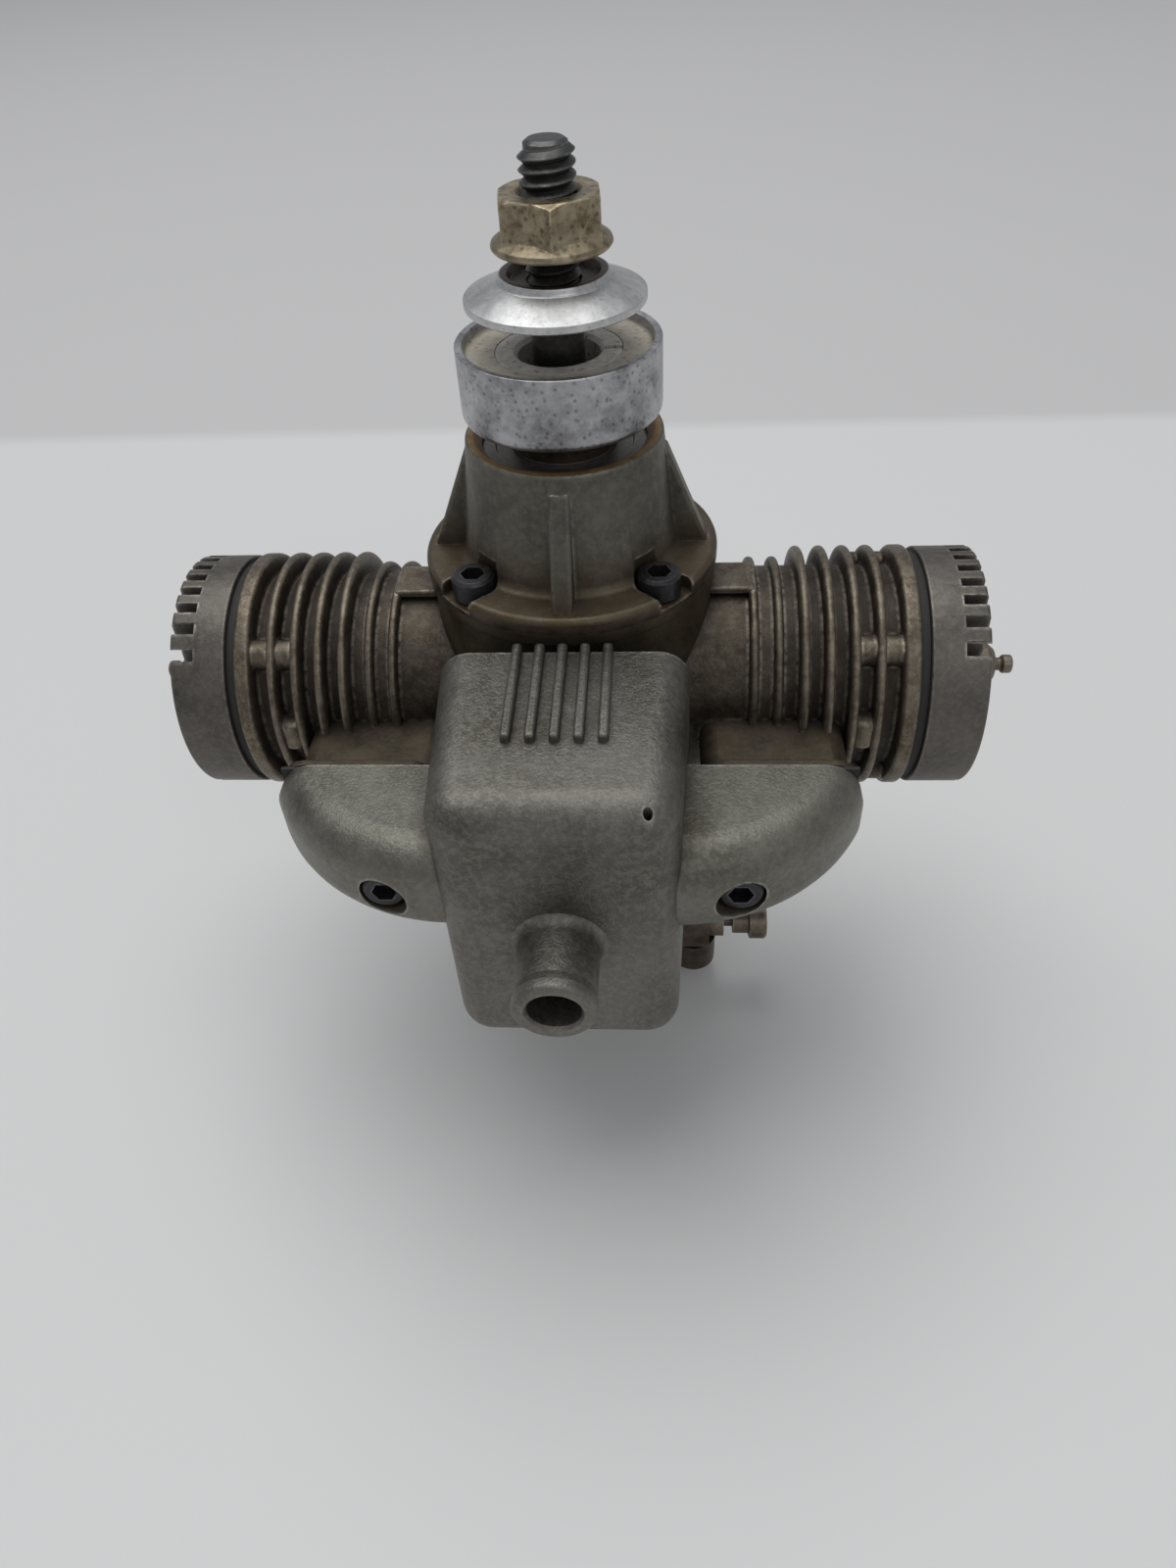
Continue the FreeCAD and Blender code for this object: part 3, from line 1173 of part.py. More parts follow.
# ---------------------------------------------------------------- the nodes
def main():
    """Build and write every node."""
    os.makedirs("parts", exist_ok=True)
    save("crankcase", crankcase())
    save("front_housing", front_housing())
    save("front_housing_screws", *front_housing_screws())
    save("rear_cover", rear_cover())
    save("rear_cover_screws", *rear_cover_screws())

    for name, spec, z0 in (
        ("main_bearing", MAIN_BEARING, MAIN_BEARING_Z),
        ("nose_bearing", NOSE_BEARING, NOSE_BEARING_Z),
    ):
        outer, inner, balls = bearing(spec, z0)
        save(name + "_outer_race", outer)
        save(name + "_inner_race", inner)
        save(name + "_balls", *balls)

    save("crankshaft", crankshaft_front())
    save("crank_middle_web", crankshaft_middle())
    save("crank_rear_web", crankshaft_rear())
    save("rotary_valve", rotary_valve())
    save("prop_driver", prop_driver())
    save("driver_collet", driver_collet())
    save("prop_stud", prop_stud())
    save("prop_washer", prop_washer())
    save("prop_nut", prop_nut())

    same = {
        "liner": liner(),
        "piston": piston(),
        "piston_ring": piston_ring(),
        "wrist_pin": wrist_pin(),
        "head_gasket": head_gasket(),
        "cylinder_head": cylinder_head(),
        "glow_plug": glow_plug(),
        "exhaust_manifold": exhaust_manifold(),
        "exhaust_gasket": exhaust_gasket(),
        "manifold_screw": exhaust_screw(),
    }
    for name, shape in same.items():
        save("right_" + name, shape)
        save("left_" + name, mirrored(shape))
    screws = head_screws()
    save("right_head_screws", *screws)
    save("left_head_screws", *[mirrored(s) for s in screws])
    save("right_conrod", conrod(FRONT_ROD_Z))
    save("right_crankpin", crankpin(FRONT_ROD_Z))
    save("left_conrod", mirrored(conrod(REAR_ROD_Z)))
    save("left_crankpin", mirrored(crankpin(REAR_ROD_Z)))

    save("muffler_box", muffler_box())
    save("muffler_plate", muffler_plate())
    for name, shape in (
        ("carburettor_body", carburettor_body()),
        ("throttle_barrel", throttle_barrel()),
        ("throttle_arm", throttle_arm()),
        ("idle_needle", idle_needle()),
        ("needle_body", needle_body()),
        ("fuel_inlet", fuel_inlet()),
        ("main_needle", main_needle()),
    ):
        save(name, moved(shape, V(0, CARB_Y, 0)))


main()
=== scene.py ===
"""Studio picture of an opposed-twin model aircraft engine, dressed around its CAD frame.

The crank axis is Z with the propeller end up, the cylinders lie along X and the
silencer is on the -Y side. Sizes in the classes are in millimetres.
"""

import logging
import math
from dataclasses import dataclass
from enum import Enum
from typing import Callable, Iterable, Sequence

import bpy
from mathutils import Matrix, Vector


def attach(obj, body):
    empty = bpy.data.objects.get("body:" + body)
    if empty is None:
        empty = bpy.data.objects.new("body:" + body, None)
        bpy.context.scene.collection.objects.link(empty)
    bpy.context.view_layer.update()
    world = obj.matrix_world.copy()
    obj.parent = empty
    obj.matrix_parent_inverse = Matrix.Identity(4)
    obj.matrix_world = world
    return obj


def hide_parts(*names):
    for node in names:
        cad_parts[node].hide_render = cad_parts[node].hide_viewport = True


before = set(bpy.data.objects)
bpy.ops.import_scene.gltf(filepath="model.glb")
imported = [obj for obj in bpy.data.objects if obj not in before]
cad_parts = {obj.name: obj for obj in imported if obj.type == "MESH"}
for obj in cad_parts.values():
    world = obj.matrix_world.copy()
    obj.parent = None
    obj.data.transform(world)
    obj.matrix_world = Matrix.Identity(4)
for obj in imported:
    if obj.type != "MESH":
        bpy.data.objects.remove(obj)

LOG = logging.getLogger("flat_twin")
MM = 0.001
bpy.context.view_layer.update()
ROOT = "engine"
CYL_Z = 21.8
FLANGE_Z = 44.0
LINER_RADIUS = 12.54
DECK = 46.7
HEAD_JOINT = 48.0

Point2 = tuple[float, float]
Point3 = tuple[float, float, float]
Piece = bpy.types.Object
Material = bpy.types.Material
Tree = bpy.types.NodeTree
Socket = bpy.types.NodeSocket
Sockets = bpy.types.bpy_prop_collection
Finishes = dict[str, Material]


class Axis(Enum):
    """The axis that a turned piece is spun about."""

    X = (1.0, 0.0, 0.0)
    Y = (0.0, 1.0, 0.0)
    Z = (0.0, 0.0, 1.0)


# ---------------------------------------------------------------- modelling helpers
def deselect() -> None:
    """Leave edit mode and deselect everything."""
    if bpy.context.object and bpy.context.object.mode != "OBJECT":
        bpy.ops.object.mode_set(mode="OBJECT")
    bpy.ops.object.select_all(action="DESELECT")


def activate(piece: Piece) -> None:
    """Make a piece the only selected and the active object.

    Args:
        piece: The mesh object.
    """
    deselect()
    piece.select_set(True)
    bpy.context.view_layer.objects.active = piece


def settle(piece: Piece, angle: float = 35.0) -> Piece:
    """Merge doubles, turn the faces outwards and shade smooth below an angle.

    Args:
        piece: The mesh object.
        angle: Sharp edge limit in degrees.

    Returns:
        The same object.
    """
    activate(piece)
    bpy.ops.object.transform_apply(location=True, rotation=True, scale=True)
    bpy.ops.object.mode_set(mode="EDIT")
    bpy.ops.mesh.select_mode(type="VERT")
    bpy.ops.mesh.select_all(action="SELECT")
    bpy.ops.mesh.remove_doubles(threshold=0.002 * MM)
    bpy.ops.mesh.normals_make_consistent(inside=False)
    bpy.ops.object.mode_set(mode="OBJECT")
    bpy.ops.object.shade_smooth_by_angle(angle=math.radians(angle))
    return piece


def apply_modifier(piece: Piece, kind: str, **values: object) -> None:
    """Add a modifier, set it and apply it.

    Args:
        piece: The mesh object.
        kind: The modifier's type.
        values: The modifier's settings.
    """
    activate(piece)
    modifier = piece.modifiers.new(kind.lower(), kind)
    for key, value in values.items():
        setattr(modifier, key, value)
    bpy.ops.object.modifier_apply(modifier=modifier.name)


def soften(piece: Piece, width: float, segments: int = 2, angle: float = 40.0) -> None:
    """Bevel every edge sharper than an angle, width in millimetres.

    Args:
        piece: The mesh object.
        width: Bevel width in millimetres.
        segments: Steps of the round.
        angle: Sharp edge limit in degrees.
    """
    apply_modifier(
        piece, "BEVEL", width=width * MM, segments=segments, limit_method="ANGLE",
        angle_limit=math.radians(angle), harden_normals=False,
    )


def join(pieces: Sequence[Piece], name: str) -> Piece:
    """Join meshes into the first one and rename it.

    Args:
        pieces: The meshes, of which the first takes in the rest.
        name: The joined object's name.

    Returns:
        The first mesh, joined.
    """
    activate(pieces[0])
    for piece in pieces:
        piece.select_set(True)
    bpy.ops.object.join()
    pieces[0].name = name
    pieces[0].data.name = name
    return pieces[0]


def carve(piece: Piece, cutters: Sequence[Piece]) -> None:
    """Cut every cutter out of a piece and delete the cutters.

    Args:
        piece: The mesh object.
        cutters: The solids to cut out.
    """
    for cutter in cutters:
        apply_modifier(piece, "BOOLEAN", object=cutter, operation="DIFFERENCE", solver="EXACT")
        bpy.data.objects.remove(cutter)


def blend_in(piece: Piece, others: Sequence[Piece]) -> None:
    """Unite a piece with others and delete the others.

    Args:
        piece: The mesh object.
        others: The solids to add.
    """
    for other in others:
        apply_modifier(piece, "BOOLEAN", object=other, operation="UNION", solver="EXACT")
        bpy.data.objects.remove(other)


def copy_of(piece: Piece, name: str) -> Piece:
    """Copy with its own mesh.

    Args:
        piece: The mesh object.
        name: The copy's name.

    Returns:
        The copy.
    """
    twin = piece.copy()
    twin.data = piece.data.copy()
    twin.name = name
    bpy.context.collection.objects.link(twin)
    return twin


def mirror_of(piece: Piece, name: str) -> Piece:
    """Mirror image on the other side of the crank axis.

    Args:
        piece: The mesh object.
        name: The mirror image's name.

    Returns:
        The mirror image.
    """
    twin = copy_of(piece, name)
    twin.scale = (-1.0, 1.0, 1.0)
    return settle(twin)


def vertex_chain(name: str, points: Sequence[Point3], closed: bool = False) -> Piece:
    """Chain of edges, extruded point by point from one vertex.

    Args:
        name: The new object's name.
        points: Points in millimetres.
        closed: Whether the last point joins the first.

    Returns:
        The new object, left in edit mode with everything selected.
    """
    deselect()
    bpy.ops.mesh.primitive_plane_add(size=MM, location=(0.0, 0.0, 0.0))
    piece = bpy.context.object
    piece.name = name
    piece.data.name = name
    bpy.ops.object.mode_set(mode="EDIT")
    bpy.ops.mesh.select_mode(type="VERT")
    bpy.ops.mesh.select_all(action="SELECT")
    bpy.ops.mesh.merge(type="CENTER")
    bpy.ops.transform.translate(value=tuple(Vector(points[0]) * MM))
    for before, after in zip(points, points[1:]):
        step = (Vector(after) - Vector(before)) * MM
        bpy.ops.mesh.extrude_region_move(TRANSFORM_OT_translate={"value": tuple(step)})
    bpy.ops.mesh.select_all(action="SELECT")
    if closed:
        bpy.ops.mesh.edge_face_add()
        bpy.ops.mesh.select_all(action="SELECT")
    return piece


def rounded(points: Sequence[Sequence[float]], segments: int = 5) -> list[Point2]:
    """Polyline with its corners rounded.

    Args:
        points: (u, v) or (u, v, radius) corners.
        segments: Steps of each round.

    Returns:
        The corners and the steps of the rounds.
    """
    result: list[Point2] = []
    last = len(points) - 1
    for i, corner in enumerate(points):
        radius = corner[2] if len(corner) > 2 else 0.0
        here = Vector(corner[:2])
        if radius <= 0.0 or i in (0, last):
            result.append((here.x, here.y))
            continue
        to_before = Vector(points[i - 1][:2]) - here
        to_after = Vector(points[i + 1][:2]) - here
        half = to_before.angle(to_after) / 2
        reach = min(radius / math.tan(half), 0.49 * to_before.length, 0.49 * to_after.length)
        start = here + to_before.normalized() * reach
        end = here + to_after.normalized() * reach
        radius = reach * math.tan(half)
        inward = (to_before.normalized() + to_after.normalized()).normalized()
        middle = here + inward * (radius / math.sin(half))
        first = start - middle
        sweep = first.angle_signed(end - middle)
        for k in range(segments + 1):
            turn = -sweep * k / segments
            spoke = Vector((
                first.x * math.cos(turn) - first.y * math.sin(turn),
                first.x * math.sin(turn) + first.y * math.cos(turn),
            ))
            result.append((middle.x + spoke.x, middle.y + spoke.y))
    return result


def on_axis(axis: Axis, radius: float, along: float, centre: Point3) -> Point3:
    """Point at a radius from an axis, in the plane where profiles are drawn.

    Args:
        axis: The axis.
        radius: Distance from the axis.
        along: Distance along the axis.
        centre: A point on the axis.

    Returns:
        The point in millimetres.
    """
    if axis is Axis.Z:
        return (centre[0] + radius, centre[1], centre[2] + along)
    if axis is Axis.X:
        return (centre[0] + along, centre[1] + radius, centre[2])
    return (centre[0] + radius, centre[1] + along, centre[2])


def turned(
    name: str, profile: Sequence[Sequence[float]], axis: Axis = Axis.Z,
    centre: Point3 = (0.0, 0.0, 0.0), steps: int = 96, angle: float = 30.0,
) -> Piece:
    """Piece turned on a lathe.

    Args:
        name: The new object's name.
        profile: (radius, along, round) corners, closed from the last to the first where
            neither lies on the axis.
        axis: The lathe's axis.
        centre: A point on the axis.
        steps: Faces round the axis.
        angle: Sharp edge limit in degrees.

    Returns:
        The new object.
    """
    outline = rounded(profile)
    if outline[0][0] > 0.0 and outline[-1][0] > 0.0:
        outline.append(outline[0])
    piece = vertex_chain(name, [on_axis(axis, r, along, centre) for r, along in outline])
    bpy.ops.mesh.spin(
        steps=steps, angle=math.tau, center=tuple(Vector(centre) * MM), axis=axis.value,
    )
    bpy.ops.object.mode_set(mode="OBJECT")
    return settle(piece, angle)


def extruded(
    name: str, outline: Sequence[Point3], push: Point3, angle: float = 35.0,
) -> Piece:
    """Flat outline pushed into a solid.

    Args:
        name: The new object's name.
        outline: The outline's points in millimetres.
        push: How far and where to extrude.
        angle: Sharp edge limit in degrees.

    Returns:
        The new object.
    """
    piece = vertex_chain(name, outline, closed=True)
    bpy.ops.mesh.extrude_region_move(TRANSFORM_OT_translate={"value": tuple(Vector(push) * MM)})
    bpy.ops.object.mode_set(mode="OBJECT")
    return settle(piece, angle)


def block(name: str, x: Point2, y: Point2, z: Point2) -> Piece:
    """Box from three (low, high) pairs in millimetres.

    Args:
        name: The new object's name.
        x: Low and high x.
        y: Low and high y.
        z: Low and high z.

    Returns:
        The new object.
    """
    deselect()
    low, high = Vector((x[0], y[0], z[0])) * MM, Vector((x[1], y[1], z[1])) * MM
    bpy.ops.mesh.primitive_cube_add(size=1.0, location=(low + high) / 2, scale=high - low)
    piece = bpy.context.object
    piece.name = name
    piece.data.name = name
    return settle(piece)


def rod(
    name: str, radius: float, start: float, end: float, axis: Axis = Axis.Z,
    centre: Point3 = (0.0, 0.0, 0.0), steps: int = 48,
) -> Piece:
    """Plain cylinder, used as a cutter or a core."""
    return turned(name, [(0, start), (radius, start), (radius, end), (0, end)], axis, centre, steps)


def round_edges(
    piece: Piece, wanted: Callable[[Vector, Vector], bool], width: float, segments: int = 6,
) -> None:
    """Bevel the edges that a test picks by the places of their ends.

    Args:
        piece: The mesh object.
        wanted: Takes the two ends in millimetres and says whether to bevel the edge.
        width: Bevel width in millimetres.
        segments: Steps of the round.
    """
    activate(piece)
    mesh = piece.data
    bpy.ops.object.mode_set(mode="EDIT")
    bpy.ops.mesh.select_mode(type="EDGE")
    bpy.ops.mesh.select_all(action="DESELECT")
    bpy.ops.object.mode_set(mode="OBJECT")
    for edge in mesh.edges:
        ends = [mesh.vertices[i].co / MM for i in edge.vertices]
        edge.select = wanted(*ends)
    bpy.ops.object.mode_set(mode="EDIT")
    bpy.ops.mesh.bevel(offset=width * MM, segments=segments, affect="EDGES", clamp_overlap=True)
    bpy.ops.object.mode_set(mode="OBJECT")


def circle_points(diameter: float, angles: Iterable[float]) -> list[Point2]:
    """Points on a circle about the crank axis, in millimetres.

    Args:
        diameter: The circle's diameter.
        angles: Directions in degrees.

    Returns:
        The points in millimetres.
    """
    return [
        (diameter / 2 * math.cos(math.radians(a)), diameter / 2 * math.sin(math.radians(a)))
        for a in angles
    ]


def dress(
    piece: Piece, material: Material,
    body: str = ROOT, stands_for: Sequence[str] = (),
) -> Piece:
    """Give a piece its finish, its body and the nodes it stands for.

    Args:
        piece: The mesh object.
        material: The finish.
        body: The body that the piece moves with.
        stands_for: The CAD nodes that the piece replaces.

    Returns:
        The same object.
    """
    piece.data.materials.clear()
    piece.data.materials.append(material)
    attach(piece, body)
    if stands_for:
        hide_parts(*stands_for)
    LOG.info("%s: %d faces on %s", piece.name, len(piece.data.polygons), body)
    return piece


def repaint(
    piece: Piece, material: Material, wanted: Callable[[Vector, Vector], bool],
) -> None:
    """Give some faces of a dressed piece another finish.

    Args:
        piece: The mesh object.
        material: The other finish.
        wanted: Takes a face's centre in millimetres and its normal, and says whether to repaint it.
    """
    piece.data.materials.append(material)
    place = len(piece.data.materials) - 1
    for face in piece.data.polygons:
        if wanted(face.center / MM, face.normal):
            face.material_index = place


def dress_node(name: str, material: Material) -> None:
    """Give a CAD node a better material.

    Args:
        name: The node's name.
        material: The finish.
    """
    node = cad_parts[name]
    if not node.material_slots:
        node.data.materials.append(material)
    for place in node.material_slots:
        place.material = material


# ---------------------------------------------------------------- finishes
def link_or_set(tree: Tree, value: object, socket: Socket) -> None:
    """Link an output socket, or set a plain value.

    Args:
        tree: The node tree to draw in.
        value: A number or an output socket.
        socket: The input socket.
    """
    if isinstance(value, Socket):
        tree.links.new(value, socket)
    else:
        socket.default_value = value


def math_node(tree: Tree, operation: str, *values: object) -> Socket:
    """Math node on numbers or sockets.

    Args:
        tree: The node tree to draw in.
        operation: The node's operation.
        values: Numbers or output sockets, in the order of the inputs.

    Returns:
        The result.
    """
    node = tree.nodes.new("ShaderNodeMath")
    node.operation = operation
    for value, socket in zip(values, node.inputs):
        link_or_set(tree, value, socket)
    return node.outputs[0]


def remap(tree: Tree, value: object, low: object, high: object) -> Socket:
    """Value taken from low..high to 0..1, clamped.

    Args:
        tree: The node tree to draw in.
        value: A number or an output socket.
        low: The value that becomes 0.
        high: The value that becomes 1.

    Returns:
        The result.
    """
    node = tree.nodes.new("ShaderNodeMapRange")
    for label, setting in (("Value", value), ("From Min", low), ("From Max", high)):
        link_or_set(tree, setting, node.inputs[label])
    return node.outputs["Result"]


def coordinates(tree: Tree) -> Socket:
    """Object coordinates, which stay with a piece when it moves."""
    return tree.nodes.new("ShaderNodeTexCoord").outputs["Object"]


def split_place(tree: Tree) -> Sockets:
    """Object coordinates as three numbers.

    Args:
        tree: The node tree to draw in.

    Returns:
        The three output sockets, by letter.
    """
    node = tree.nodes.new("ShaderNodeSeparateXYZ")
    tree.links.new(coordinates(tree), node.inputs["Vector"])
    return node.outputs


def noise(
    tree: Tree, scale: object, detail: float = 4.0, rough: float = 0.6,
    stretch: Point3 | None = None,
) -> Socket:
    """Noise on Object coordinates, stretched along an axis if asked.

    Args:
        tree: The node tree to draw in.
        scale: Scale of the noise.
        detail: Octaves of the noise.
        rough: Share that each octave keeps.
        stretch: Scale along each axis.

    Returns:
        The noise.
    """
    node = tree.nodes.new("ShaderNodeTexNoise")
    for label, setting in (("Scale", scale), ("Detail", detail), ("Roughness", rough)):
        link_or_set(tree, setting, node.inputs[label])
    vector = coordinates(tree)
    if stretch:
        mapping = tree.nodes.new("ShaderNodeMapping")
        mapping.inputs["Scale"].default_value = stretch
        tree.links.new(vector, mapping.inputs["Vector"])
        vector = mapping.outputs["Vector"]
    tree.links.new(vector, node.inputs["Vector"])
    return node.outputs["Fac"]


def shaken(
    tree: Tree, value: object, by: float, scale: object, detail: float = 5.0, rough: float = 0.7,
) -> Socket:
    """Value broken up by noise."""
    patch = noise(tree, scale, detail, rough)
    return math_node(tree, "ADD", value, math_node(tree, "MULTIPLY_ADD", patch, 2 * by, -by))


def openness(tree: Tree, reach: object, samples: int) -> Socket:
    """How open a surface is to its surroundings, from ambient occlusion.

    Args:
        tree: The node tree to draw in.
        reach: How far to look, in metres.
        samples: Rays for each point.

    Returns:
        1 in the open and 0 in a tight corner.
    """
    node = tree.nodes.new("ShaderNodeAmbientOcclusion")
    node.samples = samples
    link_or_set(tree, reach, node.inputs["Distance"])
    return node.outputs["AO"]


def mix(tree: Tree, factor: object, first: object, second: object) -> Socket:
    """Colour mix of two colours or sockets.

    Args:
        tree: The node tree to draw in.
        factor: Share of the second colour.
        first: The first colour.
        second: The second colour.

    Returns:
        The mixed colour.
    """
    node = tree.nodes.new("ShaderNodeMix")
    node.data_type = "RGBA"
    for place, value in ((0, factor), (6, first), (7, second)):
        link_or_set(tree, value, node.inputs[place])
    return node.outputs[2]


def rgba(colour: Sequence[float]) -> tuple[float, float, float, float]:
    """Colour with full alpha."""
    return (colour[0], colour[1], colour[2], 1.0)


def over(
    tree: Tree, below: object, mask: Socket, amount: float, colour: Sequence[float],
) -> Socket:
    """Colour laid over another through a mask."""
    return mix(tree, math_node(tree, "MULTIPLY", mask, amount), below, rgba(colour))


def new_material(name: str) -> tuple[Material, Tree, bpy.types.Node]:
    """Material with its node tree and its Principled shader.

    Args:
        name: The material's name.

    Returns:
        The material, its tree and its shader.
    """
    material = bpy.data.materials.new(name)
    material.use_nodes = True
    return material, material.node_tree, material.node_tree.nodes["Principled BSDF"]


def draw_grain(tree: Tree, into: Sockets) -> dict[str, Socket]:
    """Cast surface: a fine height, pits, flecks and slow mottling.

    Args:
        tree: The node tree to draw in.
        into: The group's input sockets, by name.

    Returns:
        The group's outputs, by name.
    """
    pits = tree.nodes.new("ShaderNodeTexVoronoi")
    pits.feature = "F1"
    tree.links.new(coordinates(tree), pits.inputs["Vector"])
    tree.links.new(into["Fine Scale"], pits.inputs["Scale"])
    flecks = noise(tree, math_node(tree, "MULTIPLY", into["Fine Scale"], 0.5), 3.0, 0.8)
    return {
        "Height": noise(tree, into["Fine Scale"], 6.0, 0.65),
        "Mottle": remap(tree, noise(tree, into["Slow Scale"]), 0.35, 0.65),
        "Pits": remap(tree, pits.outputs["Distance"], 0.0, 0.35),
        "Speckle": remap(tree, flecks, 0.44, 0.62),
    }


def draw_grime_and_shade(tree: Tree, into: Sockets) -> dict[str, Socket]:
    """Oily deposits in corners and hollows, with painted shade there: darker where ambient occlusion finds
    the surface closed in.

    Args:
        tree: The node tree to draw in.
        into: The group's input sockets, by name.

    Returns:
        The group's outputs, by name.
    """
    # Painted shade together with oily deposits: ambient occlusion darkens closed-in corners.
    total = shaken(tree, openness(tree, into["Reach"], 8), 0.45, into["Patch Scale"])
    hidden = math_node(tree, "MULTIPLY", math_node(tree, "SUBTRACT", 1.0, total), into["Spread"])
    return {"Mask": remap(tree, math_node(tree, "MULTIPLY", hidden, 2.0), 0.15, 0.95)}


def draw_edges(tree: Tree, into: Sockets) -> dict[str, Socket]:
    """Rubbed outer edges, from the bevelled normal.

    Args:
        tree: The node tree to draw in.
        into: The group's input sockets, by name.

    Returns:
        The group's outputs, by name.
    """
    soft = tree.nodes.new("ShaderNodeBevel")
    soft.samples = 6
    tree.links.new(into["Width"], soft.inputs["Radius"])
    dot = tree.nodes.new("ShaderNodeVectorMath")
    dot.operation = "DOT_PRODUCT"
    tree.links.new(soft.outputs["Normal"], dot.inputs[0])
    tree.links.new(tree.nodes.new("ShaderNodeNewGeometry").outputs["Normal"], dot.inputs[1])
    rubbed = remap(tree, math_node(tree, "SUBTRACT", 1.0, dot.outputs["Value"]), 0.01, 0.12)
    patch = remap(tree, noise(tree, into["Patch Scale"], 4.0, 0.7), 0.36, 0.6)
    proud = remap(tree, openness(tree, EDGE_REACH, 4), 0.6, 0.85)
    return {"Mask": math_node(tree, "MULTIPLY", math_node(tree, "MULTIPLY", rubbed, patch), proud)}


def draw_fin_shade(tree: Tree, into: Sockets) -> dict[str, Socket]:
    """Painted shade deep between the fins, from the distance to the cylinders' axis.

    Args:
        tree: The node tree to draw in.
        into: The group's input sockets, by name.

    Returns:
        The group's outputs, by name.
    """
    place = split_place(tree)
    up = math_node(tree, "SUBTRACT", place["Z"], CYL_Z * MM)
    squares = [math_node(tree, "MULTIPLY", side, side) for side in (up, place["Y"])]
    radius = math_node(tree, "SQRT", math_node(tree, "ADD", *squares))
    # Painted shade: full at the fin roots, gone at the crests.
    crest = remap(tree, shaken(tree, radius, 0.0012, 420.0), into["Floor"], into["Crest"])
    return {"Mask": math_node(tree, "SUBTRACT", 1.0, crest)}


def draw_settled(tree: Tree, into: Sockets) -> dict[str, Socket]:
    """Dirt that settles low on a piece, from the height."""
    height = shaken(tree, split_place(tree)["Z"], 0.006, 330.0, 6.0, 0.75)
    return {"Mask": math_node(tree, "SUBTRACT", 1.0, remap(tree, height, into["Full"], into["Clear"]))}


@dataclass(frozen=True)
class Effect:
    """Shader node group that several finishes share, built once."""

    name: str
    inputs: tuple[tuple[str, float], ...]
    draw: Callable[[Tree, Sockets], dict[str, Socket]]

    def tree(self) -> Tree:
        """Node group, made the first time it is asked for.

        Returns:
            The group's node tree.
        """
        made = bpy.data.node_groups.get(self.name)
        if made:
            return made
        tree = bpy.data.node_groups.new(self.name, "ShaderNodeTree")
        for label, default in self.inputs:
            socket = tree.interface.new_socket(name=label, in_out="INPUT", socket_type="NodeSocketFloat")
            socket.default_value = default
        results = self.draw(tree, tree.nodes.new("NodeGroupInput").outputs)
        for label in results:
            tree.interface.new_socket(name=label, in_out="OUTPUT", socket_type="NodeSocketFloat")
        out = tree.nodes.new("NodeGroupOutput")
        for label, value in results.items():
            tree.links.new(value, out.inputs[label])
        return tree

    def place(self, tree: Tree, values: dict[str, float]) -> Sockets:
        """Put the group in a material with the material's own values.

        Args:
            tree: The material's node tree.
            values: Input values, by socket name.

        Returns:
            The group's output sockets, by name.
        """
        node = tree.nodes.new("ShaderNodeGroup")
        node.node_tree = self.tree()
        for label, value in values.items():
            node.inputs[label].default_value = value
        return node.outputs


EDGE_REACH = 0.0012
GRAIN = Effect("CastGrain", (("Fine Scale", 2500.0), ("Slow Scale", 130.0)), draw_grain)
# Corner darkening from ambient occlusion: oily deposits and painted shade.
GRIME_AND_SHADE = Effect("CornerGrimeAndShade", (("Reach", 0.004), ("Patch Scale", 260.0), ("Spread", 0.5)), draw_grime_and_shade)
EDGES = Effect("RubbedEdges", (("Width", 0.0004), ("Patch Scale", 900.0)), draw_edges)
# Painted shade between the fins.
FIN_SHADE = Effect("FinShade", (("Floor", 0.0146), ("Crest", 0.0172)), draw_fin_shade)
SETTLED = Effect("SettledDirt", (("Full", 0.044), ("Clear", 0.050)), draw_settled)


